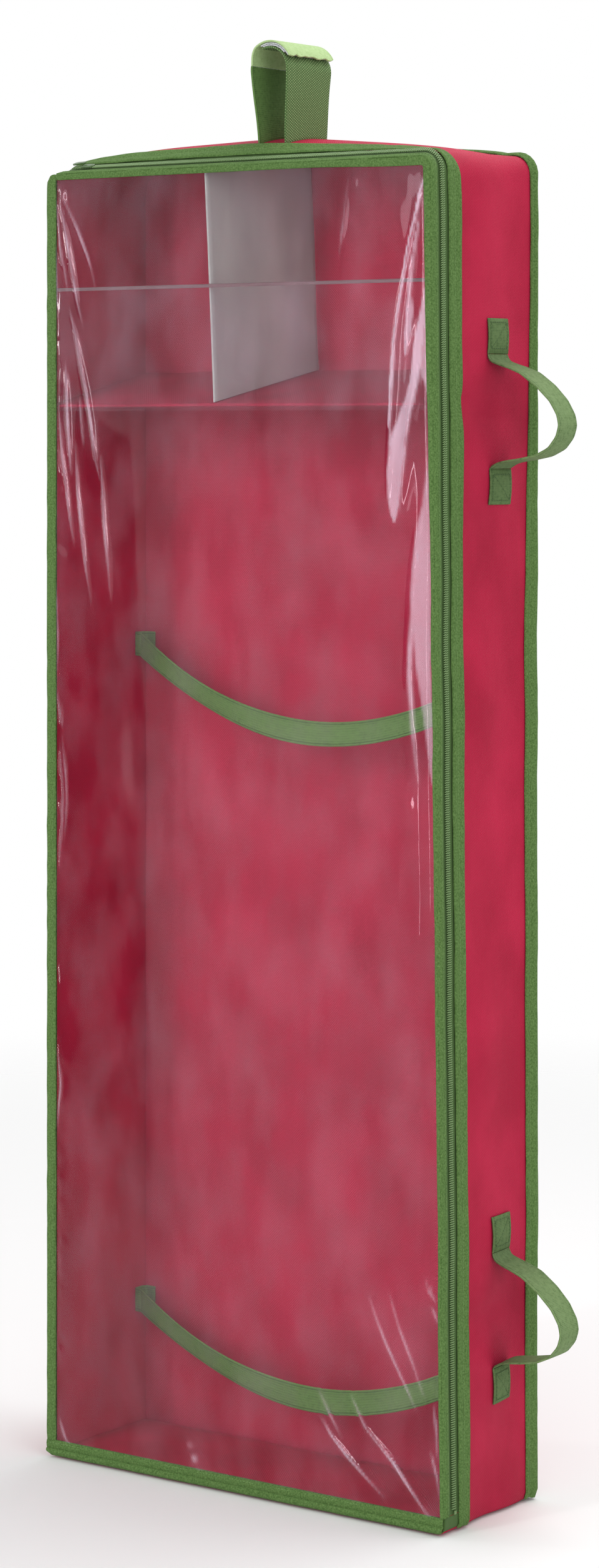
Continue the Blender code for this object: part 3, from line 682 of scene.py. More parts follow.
def bind_front(tape, thread):
    """Channels of tape folded over the rim of the clear front."""
    depths, levels = profile(
        (0.0022, -0.0074), (0.0022, -0.004), (0.0023, -0.0012), (0.0019, -0.0001),
        (0.0012, 0.0002), (0.0004, -0.0001), (-0.0002, -0.0012), (-0.0006, -0.003),
        (-0.0006, -0.005), (-0.0001, -0.0068), (0.0004, -0.0076),
    )
    runs = wrap_runs(OPENING_START, OPENING_END, 0.005)
    rows = rumple(wrap(runs, depths, levels * flange(runs)), runs, depths, levels, 0.00035, 21)
    make("front_binding_top_right", rows, TAPE, tape, "window_binding_flap", "front_flap")
    across, up = profile(
        (0.0000, 0.0002), (0.0006, 0.0008), (0.0030, 0.0011), (0.0058, 0.0010), (0.0072, 0.0005),
        (0.0076, -0.0001),
    )
    rows = wrap(runs, across, up + soft_level(runs, across, 0.0002, 26))
    fold = shell("front_binding_side_fold", rows, 0.0006, tape)
    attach(fold, "front_flap")
    runs = wrap_runs(0.012, run_at(0.016))
    line = wrap(runs, FLAP_SEAM, 0.0014)[:, 0]
    seam = stitch_line("flap_stitches", line, outward(runs, FLAP_SEAM), thread)
    sewn("front_binding_top_right_stitches", [seam], "front_flap")

    heights = spaced(0.0128, HEIGHT, 200)[:, None]
    levels = levels * 1.18
    rows = rumple(left_wall(heights, depths, levels), heights, depths, levels, 0.00035, 22)
    make("front_binding_left", rows[:, ::-1], TAPE, tape, "window_binding_left")

    x = spaced(-HALF, HALF, 90)[:, None]
    depths, levels = profile(
        (0.0022, -0.0124), (0.0022, -0.006), (0.0022, -0.0012), (0.0014, 0.0), (0.0003, -0.0004),
        (-0.0012, -0.0018), (-0.0016, -0.0036), (-0.0008, -0.0052), (0.0001, -0.0058),
        (-0.0004, -0.0070), (-0.0006, -0.0095), (-0.0002, -0.0116), (0.0004, -0.0124),
    )
    rows = rumple(underside(x, depths, levels - 0.0004), x, depths, levels, 0.0003, 23)
    make("front_binding_bottom", rows[:, ::-1], TAPE, tape, "window_binding_bottom")
    left = left_wall(spaced(0.016, 1.02, 60), -0.0008, -0.0072)
    low = underside(spaced(-0.188, 0.188, 30), -0.0005, -0.0108)
    seams = [
        stitch_line(name, line, [(0, -1, 0)] * 2, thread)
        for name, line in (("left_stitches", left), ("bottom_stitches", low))
    ]
    sewn("front_binding_stitches", seams, "organizer_body")


def bind_band(tape, thread, cream):
    """Wide band behind the zip, and the rolls round the back."""
    depths, levels = profile(
        (0.0204, 0.0004), (0.0208, 0.0010), (0.0220, 0.0014), (0.0245, 0.0013), (0.0268, 0.0009),
        (0.0280, 0.0012), (0.0300, 0.0016), (0.0320, 0.0019), (0.0334, 0.0015), (0.0341, 0.0006),
    )
    runs = wrap_runs(0, WRAP_RUN, 0.005)
    rows = wrap(runs, depths, levels + soft_level(runs, depths, 0.0003, 24))
    make("band_behind_zip", rows, TAPE, tape, "body_binding")

    depths, levels = profile(
        (0.1140, 0.0005), (0.1146, 0.0013), (0.1165, 0.0018), (0.1185, 0.0010), (0.1200, 0.0012),
        (0.1225, 0.0026), (0.1260, 0.0030), (0.1285, 0.0018), (0.1294, -0.0004), (0.1293, -0.0040),
        (0.1290, -0.0085), (0.1287, -0.0098),
    )
    runs = wrap_runs(0, WRAP_RUN - 0.0006, 0.006)
    slimmed = ROLL_END - (ROLL_END - depths) * slimmer(runs)
    rows = wrap(runs, np.minimum(slimmed, DEPTH), levels + soft_level(runs, depths, 0.00025, 25))
    rows[..., 1] += np.maximum(slimmed - DEPTH, 0)
    make("back_roll_top_right", rows, TAPE, tape, "back_binding_top_right")

    heights = spaced(0.0008, HEIGHT - 0.0004, 120)[:, None]
    rows = left_wall(heights, depths, levels)
    make("back_roll_left", rows[:, ::-1], TAPE, tape, "back_binding_left")

    x = spaced(-HALF + 0.0015, HALF - 0.0015, 60)[:, None]
    under = profile(
        (0.1181, -0.0003), (0.1240, -0.0003), (0.1282, -0.0004), (0.1291, -0.0015),
        (0.1290, -0.0060), (0.1287, -0.0098),
    )
    rows = underside(x, *under)
    make("back_roll_bottom", rows[:, ::-1], 0.0006, tape, "back_binding_bottom")

    runs = wrap_runs(0.004, WRAP_RUN - 0.004)
    facing = outward(runs, BAND_SEAM)
    front = wrap(runs, BAND_SEAM, 0.0012)[:, 0]
    rear = wrap(runs, ROLL_END - 0.0104 * slimmer(runs), 0.0013)[:, 0]
    seams = [
        stitch_line(name, line, facing, thread)
        for name, line in (("band_seam", front), ("roll_seam", rear))
    ]
    sewn("band_stitches", seams, "organizer_body")
    edge = wrap(wrap_runs(0.014, TOP_RUN - 0.004), 0.0348, 0.0006)[:, 0]
    seam = stitch_line("cream_seam", edge, [(0, 0, 1)] * 2, cream, 0.0024)
    sewn("cream_edge_stitches", [seam], "organizer_body")


repeat_nodes, repeat_sockets = repeat_tree()
stitch = knot("stitch_pattern", 6, [
    (-0.0011, 0.0001, 0.0001, -0.0001), (-0.0007, 0.00024, 0.0002, 0.0001),
    (0.0007, 0.00024, 0.0002, 0.0001), (0.0011, 0.0001, 0.0001, -0.0001),
])
green_tape = binding_tape()
green_thread = thread_finish("green_thread", GREEN_PALE)
bind_front(green_tape, green_thread)
bind_band(green_tape, green_thread, thread_finish("cream_thread", (0.62, 0.50, 0.33)))


# ---------------------------------------------------------------- zip
# A green nylon coil zip in an L over the top and down the right side: two woven
# tapes, two coils whose turns mesh, stops, end tabs, and a slider with its pull.

COIL_PITCH, FRONT_COIL, REAR_COIL = 0.0017, 0.0119, 0.0142
CUT_EDGE = 0.0003
SLIDER_RUN, SLIDER_DEPTH = 0.033, 0.01305
BESIDE_COILS = (0.0088, 0.0168)
STOP_SIDES, TAPE_SIDES = (0.0138, 0.0165), (0.0029, 0.0232)


def zip_tape_cloth():
    """Woven zip tape with fine ribs along it."""
    material, tree, shader = new_material("zip_tape_cloth", GREEN_SHADE, 0.8)
    weave = bands(tree, stretch(tree, source="UV"), 330, "Y")
    tint(tree, shader, weave, (0.035, 0.080, 0.016), (0.080, 0.155, 0.038), 0.2, 0.8)
    emboss(tree, shader, (weave, 0.5, 0.0002))
    return material


def sew_zip(cloth, nylon):
    """Tapes, meshing coils, stops and end tabs."""
    runs = wrap_runs(OPENING_START, OPENING_END)
    for name, depths, node, body in (
        ("zip_tape_front", (0.0029, 0.0050, 0.0072, 0.0080, 0.0088, 0.0096, 0.0104, 0.0128),
         "zip_tape_door", "front_flap"),
        ("zip_tape_rear", (0.0131, 0.0152, 0.0160, 0.0168, 0.0176, 0.0190, 0.0212, 0.0232),
         "zip_tape_body", "organizer_body"),
    ):
        depths = np.array(depths)[None]
        rib = sum(0.0006 * hill(depths - seam, 0.0008) for seam in BESIDE_COILS)
        make(name, wrap(runs, depths, rib - 0.0007), 0.0006, cloth, node, body, edge=1.0)

    run = spaced(0.0205, run_at(0.0165), 900)[:, None]
    at = np.linspace(0, 1, len(run))
    for name, depth, shift, way, node, body in (
        ("zip_coil_front", FRONT_COIL, 0.0, -1, "zip_coil_door", "front_flap"),
        ("zip_coil_rear", REAR_COIL, COIL_PITCH / 2, 1, "zip_coil_body", "organizer_body"),
    ):
        line = wrap(run, depth, 0.0002)[:, 0]
        lifted = wrap(run, depth, 0.01)[:, 0]
        behind = wrap(run, depth + 0.001, 0.0002)[:, 0]
        places, _, shares = along_line(line, COIL_PITCH, shift)
        across, out = (between(shares, at, end - line) for end in (behind, lifted))
        fit(repeat_along(name, coil_turn, places, way * across, out, nylon), node, body)

    for name, ends, sides, level, thickness, finish, node in (
        ("zip_stop_top", (0.0170, 0.0199), STOP_SIDES, 0.0007, 0.0014, nylon, "zip_top_stop"),
        ("zip_stop_bottom", (run_at(0.0158), OPENING_END), STOP_SIDES, 0.0007, 0.0014, nylon,
         "zip_bottom_stop"),
        ("zip_end_tab_top", (0.0002, 0.0092), TAPE_SIDES, -0.0005, 0.0006, cloth,
         "zip_top_end_tab"),
        ("zip_end_tab_bottom", (run_at(0.0126), run_at(0.0004)), TAPE_SIDES, -0.0005, 0.0006, cloth,
         "zip_bottom_end_tab"),
    ):
        rows = wrap(spaced(*ends, 5, CUT_EDGE)[:, None], spaced(*sides, 6, CUT_EDGE)[None], level)
        make(name, rows, thickness, finish, node)


def make_slider(enamel):
    """Slider body over the coil, a plate under it, and the pull that lies along it."""
    x = np.array([-0.0055, -0.0052, -0.0030, 0.0, 0.0030, 0.0052, 0.0055]) + SLIDER_RUN
    side = np.array([0.0010, 0.0022, 0.0030, 0.0032, 0.0030, 0.0022, 0.0010])[:, None]
    share = np.linspace(-1, 1, 9)[None]
    bow = 0.0018 + 0.0003 * (1 - share**2) * np.ones((len(x), 1))
    rows = wrap(x[:, None], SLIDER_DEPTH + side * share, bow)
    make("slider_body", rows, 0.0009, enamel, "zip_slider", "zip_slider", 0.3)

    x = SLIDER_RUN + spaced(-0.0045, 0.0045, 6, CUT_EDGE)
    depth = SLIDER_DEPTH + spaced(-0.0024, 0.0024, 4, CUT_EDGE)
    rows = wrap(x[:, None], depth[None], -0.00165)
    plate = shell("slider_back_plate", rows, 0.0009, enamel, 0.3)
    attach(plate, "zip_slider")

    x = spaced(0.0295, 0.0165, 12, CUT_EDGE)
    taper = np.interp(
        x, [0.0165, 0.0172, 0.019, 0.024, 0.0285, 0.0295],
        [0.0008, 0.0016, 0.0022, 0.0017, 0.0015, 0.0009],
    )
    depth = 0.0149 + taper[:, None] * spaced(-1, 1, 6, 0.12)[None]
    level = np.interp(x, [0.0165, 0.022, 0.0295], [0.0030, 0.0036, 0.0041])[:, None]
    rows = wrap(x[:, None], depth, level)
    make("slider_pull", rows[:, ::-1], 0.0011, enamel, "zip_pull_tab", "zip_pull_tab", 0.3)


zip_cloth = zip_tape_cloth()
coil_nylon = new_material("coil_nylon", (0.150, 0.250, 0.090), 0.45)[0]
slider_enamel = new_material("slider_enamel", (0.06, 0.12, 0.035), 0.3)[0]
coil_turn = knot("coil_turn_pattern", 8, [
    (-0.0014, 0.0002, 0.0003, 0.0004), (-0.0011, 0.00055, 0.0007, 0.0006),
    (0.0, 0.00045, 0.0006, 0.0009), (0.0009, 0.00048, 0.0006, 0.0008),
    (0.0014, 0.00040, 0.0005, 0.0007), (0.0016, 0.0002, 0.0002, 0.0006),
])
sew_zip(zip_cloth, coil_nylon)
make_slider(slider_enamel)


# ---------------------------------------------------------------- clear front
# One sheet of clear vinyl, sewn in all round under the bindings. It bellies out a
# little, and folds fan from its corners.

VINYL, VINYL_INSET, BELLY = 0.0005, 0.0012, 0.0040
# Creases: places (x, height) from the top down, half width, lift, all in millimetres.
CREASES = (
    (((-181, 1021), (-160, 986), (-148, 962), (-142, 946), (-140, 936)), 1.8, 1.0),
    (((-181, 1018), (-172, 985), (-165, 955), (-158, 925), (-152, 905)), 3.5, 1.4),
    (((-183, 1015), (-177, 970), (-172, 950), (-168, 930)), 2.0, 0.8),
    (((-168, 925), (-160, 900), (-155, 880), (-148, 855), (-143, 830), (-139, 800),
      (-134, 783)), 3.0, 1.8),
    (((-134, 804), (-132, 780), (-130, 750), (-126, 715), (-124, 690)), 2.4, 1.0),
    (((-171, 880), (-169, 860), (-168, 835), (-166, 800), (-166, 788)), 3.2, 1.6),
    (((-179, 845), (-176, 815), (-171, 785), (-166, 750), (-162, 730)), 1.8, 1.0),
    (((-161, 814), (-158, 775), (-154, 745), (-149, 710), (-144, 685)), 2.0, 1.1),
    (((-156, 850), (-154, 830), (-152, 810)), 1.5, 0.6),
    (((-184, 990), (-182, 950), (-180, 915)), 1.6, 0.7),
    (((-183, 704), (-180, 660), (-181, 626)), 1.6, 0.7),
    (((-182, 616), (-178, 600), (-174, 586)), 2.0, 0.9),
    (((-179, 578), (-175, 550), (-174, 525), (-176, 500), (-179, 468)), 1.2, 0.5),
    (((-176, 582), (-171, 550), (-170, 525), (-173, 494)), 1.2, 0.5),
    (((-181, 330), (-178, 312), (-176, 300), (-179, 280), (-181, 260)), 1.8, 0.8),
    (((186, 1025), (180, 995), (172, 960), (164, 925), (158, 890), (155, 850), (152, 810),
      (150, 780), (152, 758)), 3.0, 1.8),
    (((180, 988), (176, 955), (172, 925), (169, 900), (168, 882)), 3.6, 1.3),
    (((187, 946), (184, 915), (181, 890), (178, 865), (172, 840), (168, 815), (164, 790),
      (160, 760)), 5.0, 2.2),
    (((188, 828), (186, 800), (182, 765), (178, 735), (174, 705), (172, 670),
      (172, 636)), 6.0, 2.0),
    (((176, 724), (171, 680), (169, 640), (171, 600), (176, 556)), 6.5, 1.2),
    (((112, 1016), (108, 985), (103, 955)), 3.5, 0.5),
    (((108, 95), (122, 71), (148, 48), (163, 30), (176, 15), (188, 3)), 2.6, 1.6),
    (((78, 76), (90, 60), (105, 46), (124, 31), (140, 19)), 2.6, 1.4),
    (((183, 98), (185, 75), (186, 53)), 1.6, 0.8),
    (((180, 62), (185, 42), (188, 24)), 1.6, 0.8),
    (((126, 174), (133, 157), (143, 137), (157, 112), (170, 88)), 3.2, 0.9),
    (((145, 178), (155, 150), (165, 128), (178, 98)), 3.2, 0.8),
    (((78, 94), (90, 74), (100, 58)), 2.2, 0.7),
    (((-47, 34), (-42, 22), (-35, 4)), 2.6, 0.9),
    (((-179, 32), (-172, 16), (-160, 4)), 2.2, 0.7),
    (((178, 188), (181, 180), (186, 172)), 1.8, 0.8),
    (((182, 170), (185, 163), (188, 156)), 1.5, 0.7),
)

# Painted reflections: pale patches where the slack sheet would mirror the window
# light. How pale, then x, height and half width from the top down, in millimetres.
PAINTED_REFLECTIONS = (
    (0.32, (
        (186, 938, 0.8), (183, 917, 2.5), (180, 896, 3.8), (177.7, 878, 4.0), (175, 860, 4.0),
        (171, 846, 5.0), (166, 834, 6.5), (160, 816, 8.5), (157, 789, 8.0), (155.5, 768, 5.5),
        (155, 756, 1.5),
    )),
    (0.24, (
        (179, 979, 0.5), (175.5, 962, 0.7), (172.5, 945, 0.8), (171.5, 935, 1.4),
        (171.3, 913, 3.4), (169.8, 896, 3.0), (167, 880, 0.6),
    )),
    (0.22, ((186, 915, 1.0), (185, 893, 4.2), (185, 865, 4.4), (187, 850, 1.5))),
    (0.20, (
        (188, 810, 1.2), (186.5, 780, 3.2), (182.5, 754, 6.2), (180, 727, 8.8), (179, 700, 9.5),
        (180, 668, 8.0), (182, 630, 5.5), (185, 590, 3.5), (187, 560, 1.0),
    )),
    (0.34, (
        (184.8, 1015, 0.7), (180.6, 1004, 1.6), (174.2, 979, 1.0), (169, 958, 0.9),
        (164.7, 931, 0.9), (160.6, 913, 1.0), (156.9, 890, 1.1), (154.4, 867, 1.2),
        (152.9, 842, 1.3), (152, 826, 1.0),
    )),
)


def clear_vinyl(name, tone, roughness, shade, bend, with_painted_highlights):
    """Clear vinyl with a faint cloudy film, and painted highlights: more white mixed in where the
    sheet's attribute marks its creases and pale patches.
    """
    material, tree, shader = new_material(name, tone, roughness)
    tinge = (1.0, 0.75, 0.84, 1.0)
    wire(tree, shader, {"Transmission Weight": 1.0, "IOR": bend, "Specular Tint": tinge})
    cloud = noise(tree, 30, 9, (1.0, 1.0, 0.5))
    limits = {"Value": cloud, "From Min": 0.38, "From Max": 0.72, "To Max": 0.030}
    film = add_node(tree, "ShaderNodeMapRange", limits).outputs["Result"]
    # Painted highlight: the sheet's own attribute mixes in more white along its creases and pale
    # patches.
    if with_painted_highlights:
        painted_highlight = tree.nodes.new("ShaderNodeAttribute")
        painted_highlight.attribute_name = "painted_highlight"
        film = reckon(tree, "ADD", painted_highlight.outputs["Fac"], film)
        film.node.use_clamp = True
    white = add_node(tree, "ShaderNodeBsdfDiffuse", {"Color": (0.92, 0.70, 0.83, 1.0)})
    filmed = mix_shaders(tree, film, shader.outputs["BSDF"], white.outputs["BSDF"])
    through = add_node(tree, "ShaderNodeBsdfTransparent", {"Color": (*shade, 1.0)})
    shadow = tree.nodes.new("ShaderNodeLightPath").outputs["Is Shadow Ray"]
    surface = mix_shaders(tree, shadow, filmed, through.outputs["BSDF"])
    wire(tree, tree.nodes["Material Output"], {"Surface": surface})
    return material


def crease(x, height, line, width, lift):
    """Soft crest along a line of places, highest in the middle of its length."""
    across, down = np.array(line, float).T / 1000
    middle, lean = (
        np.interp(-height, -down, track) for track in (across, np.gradient(across, down))
    )
    share = np.clip((down[0] - height) / (down[0] - down[-1]), 0, 1)
    taper = np.sin(pi * share) ** 0.8
    width = width / 1000 * (0.55 + 0.45 * taper)
    return lift / 1000 * taper * hill((x - middle) / np.sqrt(1 + lean**2), width)


def patch(x, height, line):
    """Soft edged patch along a line of places with a changing half width."""
    across, down, half = np.array(line, float).T / 1000
    middle, half = (np.interp(-height, -down, track) for track in (across, half))
    inside = (height < down[0]) & (height > down[-1])
    edge = (x - middle) / half + 0.12 * drift(0.5, height / 0.008, 45)
    return np.where(inside, np.clip(1.6 * (1 - np.abs(edge) ** 3), 0, 1), 0.0)


def vinyl_belly(x, height):
    """How far the sheet stands out in front of its seams."""
    left, right, top, low = x + HALF, HALF - x, HEIGHT - height, height
    seam = ease(left / 0.035) * ease(right / 0.035) * ease(top / 0.05) * ease(low / 0.05)
    roll = 0.013 + 0.020 * ease((0.88 - height) / 0.12)
    pale = 0.3 + 0.7 * ease((height - 0.46) / 0.20)
    sides = (1 - np.exp(-left / roll)) * (1 - pale * np.exp(-right / 0.018))
    ends = ease(top / 0.20) * ease(low / 0.16)
    full = BELLY * sides * (0.35 + 0.65 * ends * (0.8 + 0.2 * drift(0.5, height / 0.22, 30)))
    belly = full + seam * 0.0009 * drift(x / 0.055 + height / 0.9, height / 0.30, 31)
    belly = belly + seam * 0.00018 * drift(x / 0.024 + height / 0.5, height / 0.14, 32)
    for line, width, lift in CREASES:
        belly = belly + crease(x, height, line, width, lift)
    edge = hill(left - 0.014, 0.008) * ease(left / 0.008)
    belly = belly + 0.0009 * edge * drift(height / 0.010 + left / 0.02, left / 0.03, 41)
    edge = hill(right - 0.020, 0.014) * ease(right / 0.008)
    belly = belly + 0.0007 * edge * drift(height / 0.034, right / 0.014, 42)
    edge = hill(top - 0.016, 0.010) * ease(top / 0.008) * (0.35 + 0.65 * ease((0.03 - x) / 0.1))
    return belly + 0.0009 * edge * drift(x / 0.0065, top / 0.04, 43)


def hang_vinyl(vinyl):
    """The clear sheet, bellied out, with its creases."""
    inset = VINYL_INSET
    x = spans((-HALF + inset, -0.115, 68), (-0.115, 0.075, 44), (0.075, HALF - inset, 72))[None]
    height = spans((inset, 0.18, 80), (0.18, 0.70, 80), (0.70, HEIGHT - inset, 92))[:, None]
    reach = np.maximum(height - (HEIGHT - FRONT_RADIUS), 0)
    room = HALF - FRONT_RADIUS + np.sqrt(np.maximum((FRONT_RADIUS - inset) ** 2 - reach**2, 0))
    x = np.minimum(x, room)
    rim = np.minimum.reduce([x + HALF, HALF - x, height + 0 * x, HEIGHT - height + 0 * x])
    belly = vinyl_belly(x, height) * ease((rim - 0.006) / 0.010)
    rows = box_place(x, 0.00125 - belly, height)
    sheet = shell("clear_front", rows, VINYL, vinyl, edge=1.0)
    # Painted highlights: white streaks along the creases, kept in the sheet's attribute.
    white = np.zeros(belly.shape)
    for number, (line, width, lift) in enumerate(CREASES):
        patchy = 0.35 + 0.65 * (0.5 + 0.5 * drift(number * 3.7, height / 0.012, 44))
        pale = 1000 * min(0.30 * lift, 0.42)
        crest = crease(x, height, line, max(0.30 * width, 1.0), pale)
        white = np.maximum(white, crest * patchy)
    # Painted reflections: pale patches where the sheet would mirror the window light, added to the
    # same attribute.
    for number, (pale, line) in enumerate(PAINTED_REFLECTIONS):
        pale = pale * (1 + 0.25 * drift(x / 0.012 + number, height / 0.06, 46))
        white = np.maximum(white, patch(x, height, line) * pale)
    layer = sheet.data.attributes.new("painted_highlight", "FLOAT", "POINT")
    layer.data.foreach_set("value", np.tile(white.ravel(), 2).astype(np.float32))
    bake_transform(sheet)
    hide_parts("window_lower", "window_flap")


vinyl = clear_vinyl(
    "clear_vinyl", (0.90, 0.875, 0.91), 0.035, (0.84, 0.83, 0.84), 1.31, with_painted_highlights=True
)
hang_vinyl(vinyl)


# ---------------------------------------------------------------- shelf
# A sloping shelf in a crimson sleeve near the top, a grey divider board standing
# on it, and a clear pocket sheet with a hem across the space in front.

SHELF_CLOTH = 0.0011
SHELF_HALF, SHELF_LEVEL, SHELF_CLIMB = HALF - 0.0017, 0.843, 0.029
SHELF_FRONT, SHELF_BACK = 0.0048, 0.1253
DIVIDER_FRONT, DIVIDER_BACK = 0.007, 0.1255
POCKET_FOOT, POCKET_TOP = 0.839, 0.937


def shelf_height(depth):
    """Height of the shelf's top, which climbs to the back."""
    return SHELF_LEVEL + SHELF_CLIMB * depth / DEPTH


def board_finish(name, tone, shade):
    """Grey board with a faint streaky grain."""
    material, tree, shader = new_material(name, tone, 0.75)
    tint(tree, shader, noise(tree, 22, 6, (1.0, 1.0, 0.35)), shade, tone, 0.3, 0.7)
    emboss(tree, shader, (noise(tree, 300, 2), 0.15, 0.0003))
    return material


def build_shelf(cloth, grey):
    """Sleeve, shelf board and divider."""
    under = spaced(SHELF_FRONT + 0.002, SHELF_BACK, 20)
    nose = SHELF_FRONT + np.array([0.0006, 0.0, 0.0006])
    depths = np.concatenate([under[::-1], nose, under])
    flat = ease((under - SHELF_FRONT - 0.004) / 0.012)
    drop = np.concatenate([np.full(21, 0.0006), [0.0008, 0.0013, 0.0018], 0.0020 + 0.0029 * flat])
    x = spaced(-SHELF_HALF, SHELF_HALF, 60)[:, None]
    soft = 0.0005 * drift(x / 0.03, depths[None] / 0.03, 51) * (drop[None] < 0.001)
    rows = box_place(x, depths[None], shelf_height(depths)[None] - drop[None] + soft)
    make("shelf_sleeve_cloth", rows, SHELF_CLOTH, cloth, "shelf_sleeve", edge=1.0)

    depths = spaced(0.0205, 0.1245, 8, 0.0004)[None]
    x = spaced(-SHELF_HALF + 0.003, SHELF_HALF - 0.004, 20, 0.0004)[:, None]
    rows = box_place(x, depths, shelf_height(depths) - 0.0028)
    make("shelf_stiffener", rows, 0.0024, grey, "shelf_board")

    depths = spaced(DIVIDER_FRONT, DIVIDER_BACK, 30, 0.0006)
    foot_x = -0.028 + 0.016 * (depths - DIVIDER_FRONT) / 0.118
    share = spaced(0, 1, 40, 0.002)[:, None]
    foot = shelf_height(depths) + 0.0008
    ceiling = top_height(foot_x, depths) - CLOTH - 0.0045
    bow = 0.0016 * np.sin(pi * share) * drift(depths[None] / 0.09, share * 1.4, 52)
    rows = box_place(foot_x - 0.009 * share + bow, depths, foot + (ceiling - foot) * share)
    make("divider", rows, 0.0024, grey, "divider_board", edge=0.5)


def hang_pocket(vinyl, hem):
    """Clear pocket sheet and the folded hem on its top edge."""
    x = spaced(-SHELF_HALF, SHELF_HALF, 110)[:, None]
    height = spaced(POCKET_FOOT, POCKET_TOP, 30)[None]
    rise = np.clip((height - POCKET_FOOT) / (POCKET_TOP - POCKET_FOOT), 0, 1)
    slack = 0.0006 * drift(x / 0.03, height / 0.05, 53) * np.sin(pi * rise)
    rows = box_place(x, 0.0038 + slack, height)
    sheet = make("clear_pocket", rows, 0.0004, vinyl, "pocket_sheet", edge=1.0)
    strip = profile(
        (0.0043, 0.9350), (0.0044, 0.9372), (0.0038, 0.9376), (0.0032, 0.9372), (0.0033, 0.9350)
    )
    rows = box_place(x, *strip)
    edge = make("pocket_hem_tape", rows, 0.0003, hem, "pocket_hem", edge=1.0)


divider_grey = board_finish("divider_grey", (0.46, 0.475, 0.435), (0.34, 0.345, 0.32))
pocket_vinyl = clear_vinyl(
    "pocket_vinyl", (0.98, 0.97, 0.98), 0.05, (0.95, 0.94, 0.95), 1.22, with_painted_highlights=False
)
hem_tape = new_material("hem_tape", (0.17, 0.10, 0.105), 0.8)[0]
build_shelf(crimson, divider_grey)
hang_pocket(pocket_vinyl, hem_tape)


# ---------------------------------------------------------------- retaining straps
# Two slack green webbing straps across the inside. Each hangs between a tab sewn
# into the back left corner and a tab on the right side.

STRAP_WIDE, STRAP_THICK = 0.0195, 0.0012

STRAP_SAG = 0.048
# Groove beside each edge of a strap: distance in centimetres and height. The same values darken the
# colour there as painted shade.
GROOVE = ((0.10, 0.42), (0.18, 0.0), (0.28, 0.30), (0.50, 0.34))


def webbing(name, low, high, rib, wide):
    """Woven strap: fine ribs across it, a soft mottle, and a groove along each edge, darkened with
    painted shade.
    """
    material, tree, shader = new_material(name, high, 0.8)
    wire(tree, shader, {"Specular IOR Level": 0.2})
    place = stretch(tree, source="UV")
    along, across = bands(tree, place, rib, "X"), bands(tree, place, rib * 0.8, "Y")
    cross = reckon(tree, "MULTIPLY", along, across)
    mottled = reckon(tree, "ADD", cross, noise(tree, 350, 3))
    sides = add_node(tree, "ShaderNodeSeparateXYZ", {"Vector": place})
    inward = reckon(tree, "PINGPONG", sides.outputs["Y"], wide / 2)
    groove = add_node(tree, "ShaderNodeValToRGB", {"Fac": reckon(tree, "MULTIPLY", inward, 100.0)})
    marks = groove.color_ramp.elements
    for spot, (distance, height) in enumerate(GROOVE):
        mark = marks[spot] if spot < 2 else marks.new(distance)
        mark.position, mark.color = distance, (height, height, height, 1.0)
    mottle_and_groove_shade = reckon(tree, "ADD", mottled, groove.outputs["Color"])
    tint(tree, shader, mottle_and_groove_shade, low, high, 0.62, 1.0)
    emboss(tree, shader, (cross, 0.5, 0.0003), (groove.outputs["Color"], 0.6, 0.0010))
    return material


def hang_retaining_strap(label, left_height, right_height, cloth):
    """One slack strap with its two sewn tabs."""
    name = label + "_retaining_strap"
    clear = 0.0021
    left = box_place(-HALF + clear, DEPTH - 0.015, left_height)
    right = box_place(HALF - clear, 0.046, right_height)
    chord = (right - left) / np.linalg.norm(right - left)
    level = np.array([0.0, 0.0, 1.0])
    up = level - chord * (level @ chord)
    up /= np.linalg.norm(up)
    start, end = left + chord * 0.006, right - chord * 0.006
    share = spaced(0, 1, 70)[:, None]
    path = start + (end - start) * share - up * STRAP_SAG * (1 - (2 * share - 1) ** 2)
    face = np.cross(chord, up)
    twist = np.radians(9) * np.sin(2 * pi * share) + np.radians(5) * np.sin(3 * pi * share)
    upright = up * np.cos(twist) + face * np.sin(twist)
    width = spaced(-STRAP_WIDE / 2, STRAP_WIDE / 2, 8, 0.0004)
    rows = path[:, None] + upright[:, None] * width[None, :, None]
    make(name + "_webbing", rows, STRAP_THICK, cloth, name, name)

    corner = DEPTH - clear - 0.001
    folded = [
        box_place(-HALF + clear + 0.011, corner, left_height),
        box_place(-HALF + clear + 0.003, corner, left_height),
        box_place(-HALF + clear, corner - 0.003, left_height), left, start - chord * 0.0003,
    ]
    plain = [
        end + chord * 0.0003, right, box_place(HALF - clear, 0.038, right_height),
        box_place(HALF - clear, 0.030, right_height),
    ]
    for tab, corners in (("_left_tab", folded), ("_right_tab", plain)):
        share = spaced(0, 1, len(corners) * 5)
        path = between(share, np.linspace(0, 1, len(corners)), corners)
        near = share if tab == "_left_tab" else 1 - share
        lean = ease((near - 0.7) / 0.3)[:, None]
        upright = level * (1 - lean) + up * lean
        rows = path[:, None] + upright[:, None] * width[None, :, None]
        make(name + tab + "_webbing", rows, STRAP_THICK, cloth, name + tab)


strap_webbing = webbing(
    "strap_webbing", (0.045, 0.115, 0.024), (0.110, 0.225, 0.055), 200, STRAP_WIDE
)
hang_retaining_strap("upper", 0.647, 0.620, strap_webbing)
hang_retaining_strap("lower", 0.104, 0.110, strap_webbing)


# ---------------------------------------------------------------- carry handles
# Two loops of green webbing on the right side. Each is sewn flat to the side at
# both ends, with a box of stitches, and droops outward in between.

